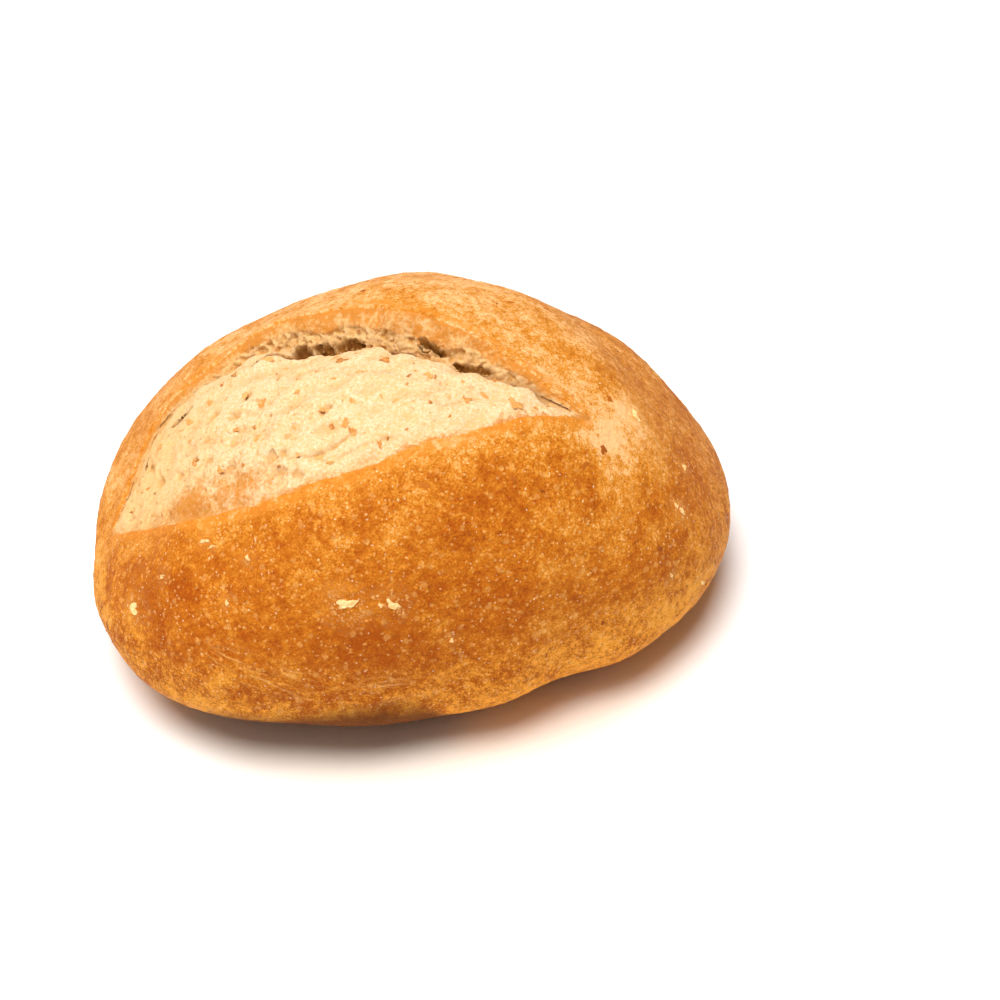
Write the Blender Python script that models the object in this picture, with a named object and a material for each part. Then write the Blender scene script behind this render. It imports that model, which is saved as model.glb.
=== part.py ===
"""A crusty bran bread roll whose one lengthwise score has burst open in the oven.

The roll is one closed solid in metres: +X runs along it, +Y points to its back and +Z up. The
origin is the middle of the flat base that it was baked on. The surface is a function of two
angles: `along` runs from the left tip to the right tip, and `around` turns from the crown (0)
to the back (+90 degrees) and the front (-90 degrees), and meets itself under the base.
"""

import math

import bmesh
import bpy
import numpy as np
from mathutils import Matrix, Vector

# Driving dimensions of the baked roll, in metres.
LENGTH = 0.115
WIDTH = 0.087
HEIGHT = 0.0600
BELLY_HEIGHT = 0.0160  # level of the widest outline above the base

# How blunt the roll is: a small exponent is a blunt end, a large one a tapered end.
PLAN_BLUNTNESS = 0.775
TOP_BLUNTNESS = 1.89
TOP_NOSE = 0.14  # share of the height that rounds the tips off bluntly
NOSE_BLUNTNESS = 0.5
BASE_BLUNTNESS = 0.62
WIDER_TO_THE_LEFT = 0.157
HIGHER_TO_THE_RIGHT = 0.150
UPPER_SQUARENESS = 2.22
LOWER_SQUARENESS = 2.38
BASE_SINK = 1.09  # the round underside would reach this many belly heights down, and is flat there

# The score, seen from above: a leaf between two tips, with a flat front edge and a bowed back edge.
SCORE_LEFT_X = -0.0535
SCORE_RIGHT_X = 0.0335
SCORE_LEFT_Y = -0.0052
SCORE_RIGHT_Y = -0.0108
FRONT_BOW = 0.0170
FRONT_BOW_SKEW = 0.80
BACK_BOW = 0.0262
BACK_BOW_SKEW = 0.65
BACK_BOW_POWER = 1.1

# The opened score in section: crust edge, swollen crumb, crevice, torn wall, back lip.
WALL_RUN = 0.0066  # plan width of the torn wall at mid-length
WALL_RUN_AT_TIPS = 0.0013
GAPE_SKEW = 1.35
GAPE_POWER = 1.6
GAPE_AT_TIPS = 0.30
FULLY_OPEN_WIDTH = 0.016  # the score is shallower where it is narrower than this
CRAGS_FADE = 0.003  # the crags start this far inside the score
SCORE_FADE = 0.004  # the score fades out over this height above the belly
CRUMB_SAG = 0.0042  # how far the crumb lies under the crust's own dome at the crevice
CREVICE_DEPTH = 0.0030
CREVICE_HALF_WIDTH = 0.0011
EDGE_STEP = 0.0004
EDGE_STEP_RUN = 0.0016
SAG_CURVE = 1.6  # over 1, the crumb sinks mostly near the crevice
WALL_CURVE = 1.25
FOOT_SHARE = 0.6  # share of the crevice's depth at which the wall's foot lies
LEAST_WIDTH = 1e-6
BACK_LIP_RISE = 0.0003
FRONT_LIP_RISE = 0.0003
LIP_RUN = 0.0042

# Unevenness of the dough: broad lumps everywhere, and crags on the torn crumb.
LUMP_SEED = 159
LUMP_WAVES = 14
LUMP_HEIGHT = 0.00034
LUMP_LENGTHS = (0.016, 0.045)
CRAG_SEED = 19
CRAG_WAVES = 16
CRAG_HEIGHT = 0.00030
CRAG_LENGTHS = (0.004, 0.011)

# Where the dough was shaped fuller or flatter: x, y, z of each place on the dome, and the height.
SWELL_REACH = 0.0095
SWELLS = (
    (-0.0565, 0.0124, 0.0192, -0.00060),
    (-0.0507, 0.0235, 0.0229, 0.00039),
    (-0.0424, 0.0284, 0.0293, 0.00047),
    (-0.0336, 0.0294, 0.0367, 0.00030),
    (-0.0222, 0.0305, 0.0422, 0.00029),
    (-0.0116, 0.0307, 0.0476, -0.00120),
    (-0.0006, 0.0310, 0.0485, 0.00055),
    (0.0207, 0.0229, 0.0509, -0.00028),
    (0.0308, 0.0231, 0.0441, -0.00037),
    (0.0506, 0.0162, 0.0268, -0.00029),
    (0.0572, 0.0050, 0.0177, 0.00022),
    (0.0559, -0.0103, 0.0117, -0.00024),
    (0.0504, -0.0202, 0.0108, -0.00036),
    (0.0378, -0.0299, 0.0097, 0.00058),
    (0.0257, -0.0339, 0.0078, -0.00099),
    (0.0104, -0.0392, 0.0086, 0.00032),
    (-0.0065, -0.0410, 0.0078, -0.00032),
    (-0.0251, -0.0412, 0.0107, -0.00029),
    (-0.0403, -0.0348, 0.0100, 0.00018),
    (-0.0512, -0.0266, 0.0131, -0.00020),
    (-0.0563, -0.0140, 0.0154, 0.00036),
)

# Brings the middle of the uneven roll's box over the origin.
CENTRE_SHIFT = np.array([-0.00009, -0.00027, 0.0])

# Bran flakes that stand out of the crumb and the crust.
FLAKE_SEED = 11
FLAKE_TRIES = 900
CRUMB_FLAKES = 18
CRUST_FLAKES = 18
FLAKE_LENGTHS = (0.0024, 0.0040)
FLAKE_SLENDERNESS = (0.45, 0.75)  # width over length
FLAKE_THICKNESS = 0.0011
FLAKE_SUNK = 0.00012  # how far the middle of a flake lies under the surface
FLAKE_MARGIN = 0.0028  # least plan distance from an edge of the score
FLAKE_SPACING = 0.0075
FLAKE_ALONG = (0.30, 2.75)
FLAKE_AROUND = (-1.75, 1.45)

# Mesh density. Rows are gathered in the score, and most of all in its torn wall.
COLUMNS = 78
ROWS = 62
BASE_ROWS_FROM = 0.80 * math.pi  # row angle where the flat base starts
SCORE_ROWS_TO = 0.44 * math.pi  # row angle of the score's two edges
CREVICE_ROW = 0.20 * math.pi
BASE_EDGE_TURN = 0.74 * math.pi  # turn from the crown to the rim of the base
TIP_BAND = 0.11  # half-width of the gathered rows past a tip, as a share of the roll's


def signed_power(value, power):
    """Raises the size of a value to a power and keeps its sign."""
    return np.sign(value) * np.abs(value) ** power


def smooth_step(low, high, value):
    """Climbs from 0 at `low` to 1 at `high` with level ends."""
    t = np.clip((value - low) / (high - low), 0.0, 1.0)
    return t * t * (3.0 - 2.0 * t)


def waves(points, seed, count, lengths, height):
    """Uneven relief: a sum of plane waves in random directions, with random lengths and phases."""
    draw = np.random.default_rng(seed)
    total = np.zeros(len(points))
    for _ in range(count):
        heading = draw.normal(size=3)
        heading /= np.linalg.norm(heading)
        length = draw.uniform(*lengths)
        phase = draw.uniform(0.0, 2.0 * math.pi)
        total += np.sin(points @ heading * (2.0 * math.pi / length) + phase)
    return total * height / math.sqrt(count / 2.0)


def swells(points):
    """Soft swells: each is its height times a bell of the distance from its place."""
    total = np.zeros(len(points))
    for *place, height in SWELLS:
        gap = np.sum((points - np.array(place)) ** 2, axis=-1)
        total += height * np.exp(-gap / SWELL_REACH**2)
    return total


def sections(along):
    """The place x, half-width, height above the belly and depth below it of each cross-section."""
    x_share = -np.cos(along)
    swell = np.maximum(np.sin(along), 0.0)
    half_width = WIDTH / 2 * swell**PLAN_BLUNTNESS * (1 - WIDER_TO_THE_LEFT * x_share)
    arch = (1 - TOP_NOSE) * swell**TOP_BLUNTNESS + TOP_NOSE * swell**NOSE_BLUNTNESS
    rise = (HEIGHT - BELLY_HEIGHT) * arch * (1 + HIGHER_TO_THE_RIGHT * x_share)
    drop = BELLY_HEIGHT * BASE_SINK * swell**BASE_BLUNTNESS
    return LENGTH / 2 * x_share, half_width, rise, drop


def dome(along, around):
    """The unscored roll: superelliptic cross-sections, cut off level with the base."""
    x, half_width, rise, drop = sections(along)
    upper = np.cos(around) >= 0
    power = np.where(upper, 2 / UPPER_SQUARENESS, 2 / LOWER_SQUARENESS)
    y = half_width * signed_power(np.sin(around), power)
    z = BELLY_HEIGHT + np.where(upper, rise, drop) * signed_power(np.cos(around), power)
    return np.stack([x, y, z], axis=-1)


def dome_normals(along, around):
    """Unit normals of the dome, from the cross product of two short steps along it."""
    step = 1e-4
    forward = dome(along + step, around) - dome(along - step, around)
    turned = dome(along, around + step) - dome(along, around - step)
    normals = np.cross(forward, turned)
    return normals / np.maximum(np.linalg.norm(normals, axis=-1, keepdims=True), 1e-12)


def score_edges(x):
    """The share of the score's length at x, and the y of its front and back edges there."""
    share = np.clip((x - SCORE_LEFT_X) / (SCORE_RIGHT_X - SCORE_LEFT_X), 0.0, 1.0)
    middle = SCORE_LEFT_Y + (SCORE_RIGHT_Y - SCORE_LEFT_Y) * share
    front = middle - FRONT_BOW * np.sin(math.pi * share**FRONT_BOW_SKEW)
    back = middle + BACK_BOW * np.sin(math.pi * share**BACK_BOW_SKEW) ** BACK_BOW_POWER
    return share, front, back


def gape(share):
    """How far the crumb has torn from the back lip: 0 at the score's tips, 1 where most."""
    return np.sin(math.pi * share**GAPE_SKEW) ** GAPE_POWER


def wall_run(share):
    """Plan width of the torn wall behind the crumb, from one tip of the score to the other."""
    return WALL_RUN_AT_TIPS + (WALL_RUN - WALL_RUN_AT_TIPS) * gape(share)


def score_depth(x, y):
    """How far the scored surface lies under the dome at plan position (x, y). Lips are negative."""
    share, front, back = score_edges(x)
    run = wall_run(share)
    from_front = y - front
    from_back = back - y
    width = np.maximum(back - front, LEAST_WIDTH)
    opened = GAPE_AT_TIPS + (1 - GAPE_AT_TIPS) * gape(share)
    openness = opened * smooth_step(0.0, FULLY_OPEN_WIDTH, width)
    across = np.clip(from_front / np.maximum(width - run, LEAST_WIDTH), 0.0, 1.0)
    floor = CRUMB_SAG * openness * across**SAG_CURVE
    crumb = floor + EDGE_STEP * smooth_step(0.0, EDGE_STEP_RUN, from_front)
    crevice = CREVICE_DEPTH * openness * np.exp(-(((from_back - run) / CREVICE_HALF_WIDTH) ** 2))
    foot = (CRUMB_SAG + EDGE_STEP + FOOT_SHARE * CREVICE_DEPTH) * openness
    wall = foot * np.clip(from_back / run, 0.0, 1.0) ** WALL_CURVE
    inside = np.where(from_back > run, crumb + crevice, np.minimum(wall, crumb + crevice))
    within = (from_front > 0) & (from_back > 0) & (share > 0) & (share < 1)
    lip_back = BACK_LIP_RISE * np.exp(-np.maximum(-from_back, 0.0) / LIP_RUN)
    lip_front = FRONT_LIP_RISE * np.exp(-np.maximum(-from_front, 0.0) / LIP_RUN)
    lip = np.where(y > (front + back) / 2, lip_back, lip_front) * smooth_step(0.0, WALL_RUN, width)
    return np.where(within, inside - lip * (1 - smooth_step(0.0, LIP_RUN, from_back)), -lip)


def openings_of(points):
    """1 on the torn crumb inside the score and 0 on the crust, with a soft border."""
    share, front, back = score_edges(points[:, 0])
    inset = np.minimum(points[:, 1] - front, back - points[:, 1])
    return smooth_step(0.0, CRAGS_FADE, inset) * (points[:, 2] > BELLY_HEIGHT)


def surface(along, around):
    """The finished roll: the dome, sunk in the score, made uneven and flat at the base."""
    points = dome(along, around)
    normals = dome_normals(along, around)
    upper = smooth_step(BELLY_HEIGHT, BELLY_HEIGHT + SCORE_FADE, points[:, 2])
    depth = score_depth(points[:, 0], points[:, 1]) * upper
    lumps = waves(points, LUMP_SEED, LUMP_WAVES, LUMP_LENGTHS, LUMP_HEIGHT) + swells(points)
    crags = waves(points, CRAG_SEED, CRAG_WAVES, CRAG_LENGTHS, CRAG_HEIGHT) * openings_of(points)
    shaped = points + normals * (lumps + crags - depth)[:, None]
    shaped[:, 2] = np.maximum(shaped[:, 2], 0.0)
    return shaped + CENTRE_SHIFT


def gathered_rows(along, row_angle):
    """Turns evenly spaced row angles into `around` angles that gather in the score."""
    x, half_width, _, _ = sections(along)
    share, front, back = score_edges(x)
    middle = (front + back) / 2
    half_band = np.hypot((back - front) / 2, TIP_BAND * half_width)
    crevice = middle + half_band - np.minimum(wall_run(share), 0.4 * half_band)

    def turn_to(y):
        lateral = np.clip(y / np.maximum(half_width, 1e-9), -0.97, 0.97)
        return np.arcsin(signed_power(lateral, UPPER_SQUARENESS / 2))

    knots = [
        (-math.pi, np.full_like(x, -math.pi)),
        (-BASE_ROWS_FROM, np.full_like(x, -BASE_EDGE_TURN)),
        (-SCORE_ROWS_TO, turn_to(middle - half_band)),
        (CREVICE_ROW, turn_to(crevice)),
        (SCORE_ROWS_TO, turn_to(middle + half_band)),
        (BASE_ROWS_FROM, np.full_like(x, BASE_EDGE_TURN)),
        (math.pi, np.full_like(x, math.pi)),
    ]
    around = np.zeros_like(x)
    for (low, turn_low), (high, turn_high) in zip(knots, knots[1:]):
        here = (row_angle >= low) & (row_angle <= high)
        share_of = (row_angle - low) / (high - low)
        around = np.where(here, turn_low + (turn_high - turn_low) * share_of, around)
    return around


def crust_material():
    """Matt golden-brown crust."""
    material = bpy.data.materials.new("crust")
    material.use_nodes = True
    shader = material.node_tree.nodes["Principled BSDF"]
    shader.inputs["Base Color"].default_value = (0.50, 0.20, 0.055, 1.0)
    shader.inputs["Roughness"].default_value = 0.55
    shader.inputs["Metallic"].default_value = 0.0
    return material


def flake_places():
    """Seeded places of the bran flakes: first those on the crumb, then those on the crust."""
    draw = np.random.default_rng(FLAKE_SEED)
    along = draw.uniform(*FLAKE_ALONG, FLAKE_TRIES)
    around = draw.uniform(*FLAKE_AROUND, FLAKE_TRIES)
    points = dome(along, around)
    share, front, back = score_edges(points[:, 0])
    from_front = points[:, 1] - front
    from_back = back - points[:, 1]
    on_crumb = (from_front > FLAKE_MARGIN) & (from_back > wall_run(share) + FLAKE_MARGIN)
    on_crust = (from_front < -FLAKE_MARGIN) | (from_back < -FLAKE_MARGIN)
    kept = []
    for allowed, count in ((on_crumb, CRUMB_FLAKES), (on_crust, CRUST_FLAKES)):
        enough = len(kept) + count
        for i in np.flatnonzero(allowed):
            gaps = [np.linalg.norm(points[i] - points[j]) for j in kept]
            if len(kept) < enough and min(gaps, default=1.0) > FLAKE_SPACING:
                kept.append(i)
    return along[kept], around[kept]


def bran_flakes():
    """Thin angular plates, each lying in the surface at its own turn."""
    along, around = flake_places()
    step = 0.01  # radians between the points that give the surface's slope
    centres = surface(along, around)
    forward = surface(along + step, around) - surface(along - step, around)
    turned = surface(along, around + step) - surface(along, around - step)
    draw = np.random.default_rng(FLAKE_SEED + 1)
    flakes = []
    for i, centre in enumerate(centres):
        normal = Vector(np.cross(forward[i], turned[i])).normalized()
        length = draw.uniform(*FLAKE_LENGTHS)
        width = length * draw.uniform(*FLAKE_SLENDERNESS)
        lie = normal.to_track_quat("Z", "Y").to_matrix().to_4x4()
        spin = Matrix.Rotation(draw.uniform(0.0, math.pi), 4, "Z")
        size = Matrix.Diagonal((length / 2, width / 2, FLAKE_THICKNESS / 2, 1.0))
        place = Matrix.Translation(Vector(centre) - normal * FLAKE_SUNK)
        plate = bmesh.new()
        bmesh.ops.create_icosphere(plate, subdivisions=1, radius=1.0, matrix=place @ lie @ spin @ size)
        mesh = bpy.data.meshes.new("flake")
        plate.to_mesh(mesh)
        plate.free()
        flakes.append(bpy.data.objects.new("flake", mesh))
    return flakes


def fuse(body, pieces):
    """Joins the pieces to the body by one Boolean union, and leaves only the body."""
    group = bpy.data.collections.new("fused_on")
    bpy.context.scene.collection.children.link(group)
    for piece in pieces:
        group.objects.link(piece)
    union = body.modifiers.new("union", "BOOLEAN")
    union.operation = "UNION"
    union.operand_type = "COLLECTION"
    union.collection = group
    union.solver = "MANIFOLD"
    bpy.context.view_layer.update()
    graph = bpy.context.evaluated_depsgraph_get()
    joined = bpy.data.meshes.new_from_object(body.evaluated_get(graph))
    body.modifiers.remove(union)
    body.data = joined
    for piece in pieces:
        bpy.data.objects.remove(piece)
    bpy.data.collections.remove(group)


def bread_roll():
    """Shapes the roll from a sphere, whose poles become the two tips."""
    shell = bmesh.new()
    bmesh.ops.create_uvsphere(shell, u_segments=ROWS, v_segments=COLUMNS, radius=1.0)
    mesh = bpy.data.meshes.new("bread_roll")
    shell.to_mesh(mesh)
    shell.free()
    ball = np.empty(len(mesh.vertices) * 3, np.float32)
    mesh.vertices.foreach_get("co", ball)
    ball = ball.reshape(-1, 3).astype(float)
    along = np.arccos(np.clip(-ball[:, 2], -1.0, 1.0))
    turned = math.pi / 2 - np.arctan2(ball[:, 1], ball[:, 0])
    row_angle = np.where(turned > math.pi, turned - 2 * math.pi, turned)
    tips = np.abs(ball[:, 2]) > 1 - 1e-9
    around = np.where(tips, 0.0, gathered_rows(along, row_angle))
    mesh.vertices.foreach_set("co", surface(along, around).astype(np.float32).ravel())
    mesh.update()
    mesh.shade_smooth()
    mesh.materials.append(crust_material())
    roll = bpy.data.objects.new("bread_roll", mesh)
    bpy.context.collection.objects.link(roll)
    fuse(roll, bran_flakes())


def main():
    for leftover in list(bpy.data.objects):
        bpy.data.objects.remove(leftover)
    bread_roll()


main()
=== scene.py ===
import math

import bpy
import numpy as np
from mathutils import Matrix, Vector


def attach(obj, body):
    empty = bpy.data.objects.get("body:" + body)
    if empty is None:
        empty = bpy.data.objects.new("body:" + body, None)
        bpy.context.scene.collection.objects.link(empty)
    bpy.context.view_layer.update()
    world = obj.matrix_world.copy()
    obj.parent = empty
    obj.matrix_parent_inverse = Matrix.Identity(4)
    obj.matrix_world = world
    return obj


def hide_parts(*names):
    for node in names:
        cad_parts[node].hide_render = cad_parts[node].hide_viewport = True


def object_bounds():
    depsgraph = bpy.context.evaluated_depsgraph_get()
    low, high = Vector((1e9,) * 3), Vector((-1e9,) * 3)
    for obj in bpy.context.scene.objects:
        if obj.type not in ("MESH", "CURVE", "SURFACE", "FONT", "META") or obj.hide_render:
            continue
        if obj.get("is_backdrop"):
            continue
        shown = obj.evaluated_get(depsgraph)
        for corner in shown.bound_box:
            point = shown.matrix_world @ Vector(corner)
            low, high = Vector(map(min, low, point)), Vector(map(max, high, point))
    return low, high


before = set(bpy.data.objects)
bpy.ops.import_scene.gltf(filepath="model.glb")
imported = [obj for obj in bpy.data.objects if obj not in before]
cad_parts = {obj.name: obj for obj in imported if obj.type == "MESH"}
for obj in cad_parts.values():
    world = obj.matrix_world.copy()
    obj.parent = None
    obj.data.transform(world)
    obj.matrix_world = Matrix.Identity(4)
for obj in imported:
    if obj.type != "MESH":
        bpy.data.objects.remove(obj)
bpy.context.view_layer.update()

# Crust
# The crust is the thin browned skin of the dough, dried and coloured by the oven. It domes up from
# the flat sole that lay on the stone, and stands up in two lips where the score tore it open.
LENGTH = 0.115
WIDTH = 0.087
HEIGHT = 0.0600
BELLY_HEIGHT = 0.0160
PLAN_BLUNTNESS = 0.775
TOP_BLUNTNESS = 1.89
TOP_NOSE = 0.14
NOSE_BLUNTNESS = 0.5
BASE_BLUNTNESS = 0.62
WIDER_TO_THE_LEFT = 0.157
HIGHER_TO_THE_RIGHT = 0.150
UPPER_SQUARENESS = 2.22
LOWER_SQUARENESS = 2.38
BASE_SINK = 1.09
SCORE_LEFT_X = -0.0535
SCORE_RIGHT_X = 0.0335
SCORE_LEFT_Y = -0.0052
SCORE_RIGHT_Y = -0.0108
FRONT_BOW = 0.0170
FRONT_BOW_SKEW = 0.80
BACK_BOW = 0.0262
BACK_BOW_SKEW = 0.65
BACK_BOW_POWER = 1.1
WALL_RUN = 0.0066
WALL_RUN_AT_TIPS = 0.0013
GAPE_SKEW = 1.35
GAPE_POWER = 1.6
GAPE_AT_TIPS = 0.30
FULLY_OPEN_WIDTH = 0.016
BACK_LIP_RISE = 0.0003
FRONT_LIP_RISE = 0.0003
LIP_RUN = 0.0042
EDGE_WANDER = 0.00022
EDGE_WANDER_LENGTHS = (0.0173, 0.0071, 0.0037)
TROUGH_START = 0.0002
TROUGH_EDGE = 0.0012
TROUGH_MARGIN = 0.0026
LUMP_SEED = 159
LUMP_WAVES = 14
LUMP_HEIGHT = 0.00034
LUMP_LENGTHS = (0.016, 0.045)
SWELL_REACH = 0.0095
SWELLS = (
    (-0.0565, 0.0124, 0.0192, -0.00060),
    (-0.0507, 0.0235, 0.0229, 0.00039),
    (-0.0424, 0.0284, 0.0293, 0.00047),
    (-0.0336, 0.0294, 0.0367, 0.00030),
    (-0.0222, 0.0305, 0.0422, 0.00029),
    (-0.0116, 0.0307, 0.0476, -0.00120),
    (-0.0006, 0.0310, 0.0485, 0.00055),
    (0.0207, 0.0229, 0.0509, -0.00028),
    (0.0308, 0.0231, 0.0441, -0.00037),
    (0.0506, 0.0162, 0.0268, -0.00029),
    (0.0572, 0.0050, 0.0177, 0.00022),
    (0.0559, -0.0103, 0.0117, -0.00024),
    (0.0504, -0.0202, 0.0108, -0.00036),
    (0.0378, -0.0299, 0.0097, 0.00058),
    (0.0257, -0.0339, 0.0078, -0.00099),
    (0.0104, -0.0392, 0.0086, 0.00032),
    (-0.0065, -0.0410, 0.0078, -0.00032),
    (-0.0251, -0.0412, 0.0107, -0.00029),
    (-0.0403, -0.0348, 0.0100, 0.00018),
    (-0.0512, -0.0266, 0.0131, -0.00020),
    (-0.0563, -0.0140, 0.0154, 0.00036),
)
CENTRE_SHIFT = np.array([-0.00009, -0.00027, 0.0])


def signed_power(value, power):
    """Raises the size of a value to a power and keeps its sign."""
    return np.sign(value) * np.abs(value) ** power


def smooth_step(low, high, value):
    """Climbs from 0 at `low` to 1 at `high` with level ends."""
    t = np.clip((value - low) / (high - low), 0.0, 1.0)
    return t * t * (3.0 - 2.0 * t)


def bell(value, centre, width):
    """1 at the centre and less to both sides: e to the minus square of the gap in widths."""
    return np.exp(-(((value - centre) / width) ** 2))


def unit(vectors):
    """The vectors, each divided by its own length."""
    return vectors / np.maximum(np.linalg.norm(vectors, axis=-1, keepdims=True), 1e-12)


def waves(points, seed, count, lengths, height):
    """Broad lumps: a sum of plane waves in random directions, with random lengths and phases."""
    draw = np.random.default_rng(seed)
    total = np.zeros(points.shape[:-1])
    for _ in range(count):
        heading = unit(draw.normal(size=3))
        length = draw.uniform(*lengths)
        phase = draw.uniform(0.0, 2.0 * math.pi)
        total += np.sin(points @ heading * (2.0 * math.pi / length) + phase)
    return total * height / math.sqrt(count / 2.0)


def swells(points):
    """Soft swells: each is its height times a bell of the distance from its place."""
    total = np.zeros(points.shape[:-1])
    for *place, height in SWELLS:
        gap = np.sum((points - np.array(place)) ** 2, axis=-1)
        total += height * np.exp(-gap / SWELL_REACH**2)
    return total


def sections(along):
    """Each cross-section: its x = -cos(along), and powers of sin(along) for its three sizes."""
    x_share = -np.cos(along)
    swell = np.maximum(np.sin(along), 0.0)
    half_width = WIDTH / 2 * swell**PLAN_BLUNTNESS * (1 - WIDER_TO_THE_LEFT * x_share)
    arch = (1 - TOP_NOSE) * swell**TOP_BLUNTNESS + TOP_NOSE * swell**NOSE_BLUNTNESS
    rise = (HEIGHT - BELLY_HEIGHT) * arch * (1 + HIGHER_TO_THE_RIGHT * x_share)
    drop = BELLY_HEIGHT * BASE_SINK * swell**BASE_BLUNTNESS
    return LENGTH / 2 * x_share, half_width, rise, drop


def dome(along, around):
    """The unscored dough: half-superellipses above and below the belly, turned from the crown."""
    x, half_width, rise, drop = sections(along)
    upper = np.cos(around) >= 0
    power = np.where(upper, 2 / UPPER_SQUARENESS, 2 / LOWER_SQUARENESS)
    y = half_width * signed_power(np.sin(around), power)
    z = BELLY_HEIGHT + np.where(upper, rise, drop) * signed_power(np.cos(around), power)
    return np.stack([x, y, z], axis=-1)


def dome_normals(along, around):
    """Unit normals of the dome, from the cross product of two short steps along it."""
    step = 1e-4
    forward = dome(along + step, around) - dome(along - step, around)
    turned = dome(along, around + step) - dome(along, around - step)
    return unit(np.cross(forward, turned))


def around_over(along, y):
    """The `around` angle whose point on the dome stands over plan position y."""
    half_width = sections(along)[1]
    lateral = np.clip(y / np.maximum(half_width, 1e-9), -0.985, 0.985)
    return np.arcsin(signed_power(lateral, UPPER_SQUARENESS / 2))


def score_edges(x):
    """The share of the score's length at x, and its two edges there: a line bowed by sines."""
    share = np.clip((x - SCORE_LEFT_X) / (SCORE_RIGHT_X - SCORE_LEFT_X), 0.0, 1.0)
    middle = SCORE_LEFT_Y + (SCORE_RIGHT_Y - SCORE_LEFT_Y) * share
    front = middle - FRONT_BOW * np.sin(math.pi * share**FRONT_BOW_SKEW)
    back = middle + BACK_BOW * np.sin(math.pi * share**BACK_BOW_SKEW) ** BACK_BOW_POWER
    inner = smooth_step(0.0, 0.08, share) * smooth_step(1.0, 0.92, share)
    for k, length in enumerate(EDGE_WANDER_LENGTHS):
        sway = EDGE_WANDER * inner / (k + 1)
        front = front + sway * np.sin(2 * math.pi * x / length + 1.3 * k)
        back = back + 1.4 * sway * np.sin(2 * math.pi * x / (1.17 * length) + 2.1 + k)
    return share, front, back


def wall_run(share):
    """Plan width of the torn wall: most where the crumb has torn furthest from the back lip."""
    gape = np.sin(math.pi * share**GAPE_SKEW) ** GAPE_POWER
    return WALL_RUN_AT_TIPS + (WALL_RUN - WALL_RUN_AT_TIPS) * gape


def openness(share, width):
    """How deep the score is, from 0 where it is shut to 1 where it gapes most."""
    gape = np.sin(math.pi * share**GAPE_SKEW) ** GAPE_POWER
    return (GAPE_AT_TIPS + (1 - GAPE_AT_TIPS) * gape) * smooth_step(0.0, FULLY_OPEN_WIDTH, width)


def cell_random(cells, seed):
    """A repeatable number from 0 to 1 for each whole-number cell, by mixing its three indices."""
    parts = cells.astype(np.int64).astype(np.uint32)
    mixed = parts[..., 0] * np.uint32(374761393) + parts[..., 1] * np.uint32(668265263)
    mixed = mixed + parts[..., 2] * np.uint32(2246822519) + np.uint32(seed * 40503 + 977)
    mixed = (mixed ^ (mixed >> np.uint32(13))) * np.uint32(1274126177)
    mixed = (mixed ^ (mixed >> np.uint32(15))) * np.uint32(2654435761)
    return ((mixed >> np.uint32(8)) & np.uint32(0xFFFF)) / 65535.0


def grain(points, size, seed, octaves=3):
    """Smooth random relief from -1 to 1: corner values blended over cubes, in halving octaves."""
    turn = Matrix(((0.36, 0.48, -0.8), (-0.8, 0.6, 0.0), (0.48, 0.64, 0.6)))
    turned = points @ np.array(turn)
    total = np.zeros(points.shape[:-1])
    weight = 1.0
    for octave in range(octaves):
        scaled = turned / size * 2**octave + 17.3 * octave
        low = np.floor(scaled)
        blend = scaled - low
        blend = blend * blend * (3 - 2 * blend)
        value = np.zeros_like(total)
        for corner in np.ndindex(2, 2, 2):
            pull = np.prod(np.where(np.array(corner), blend, 1 - blend), axis=-1)
            value += pull * cell_random(low + np.array(corner), seed + 7 * octave)
        total += weight * (2 * value - 1)
        weight *= 0.5
    return total / (2 - 2 * weight)


def bubbles(points, size, seed):
    """Distance to the nearest and to the next of seeded centres, one a cube, and its own number."""
    scaled = points / size
    home = np.floor(scaled)
    nearest = np.full(points.shape[:-1], 9.0)
    following = nearest.copy()
    number = np.zeros_like(nearest)
    for offset in np.ndindex(3, 3, 3):
        cell = home + np.array(offset) - 1
        centre = cell + np.stack([cell_random(cell, seed + k) for k in range(3)], axis=-1)
        gap = np.linalg.norm(centre - scaled, axis=-1)
        closer = gap < nearest
        following = np.where(closer, nearest, np.minimum(following, gap))
        number = np.where(closer, cell_random(cell, seed + 3), number)
        nearest = np.where(closer, gap, nearest)
    return nearest, following, number


def placed(name, data):
    """A new object in the scene, made of a mesh, a lamp or a camera."""
    made = bpy.data.objects.new(name, data)
    bpy.context.scene.collection.objects.link(made)
    return made


def write_trait(mesh, name, values):
    """Writes one number on each vertex of a mesh, for its material to read."""
    layer = mesh.attributes.new(name, "FLOAT", "POINT")
    layer.data.foreach_set("value", np.asarray(values, np.float32))


def skin(name, grid, tips, traits):
    """A closed mesh of a grid whose rows close on themselves and whose ends meet in a tip each."""
    columns, rows = grid.shape[:2]
    ring = np.arange(rows)
    after = (ring + 1) % rows
    start = np.arange(columns - 1)[:, None] * rows
    quads = [start + ring, start + rows + ring, start + rows + after, start + after]
    quads = np.stack(quads, axis=-1).reshape(-1, 4)
    first = columns * rows
    last_ring = (columns - 1) * rows
    left = np.stack([np.full(rows, first), ring, after], axis=-1)
    right = np.stack([last_ring + ring, np.full(rows, first + 1), last_ring + after], axis=-1)
    points = np.concatenate([grid.reshape(-1, 3), tips])
    mesh = bpy.data.meshes.new(name)
    mesh.from_pydata(points.tolist(), [], quads.tolist() + left.tolist() + right.tolist())
    for trait_name, values in traits.items():
        at_tips = [values[0].mean(), values[-1].mean()]
        write_trait(mesh, trait_name, np.concatenate([values.ravel(), at_tips]))
    mesh.shade_smooth()
    return placed(name, mesh)


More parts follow.
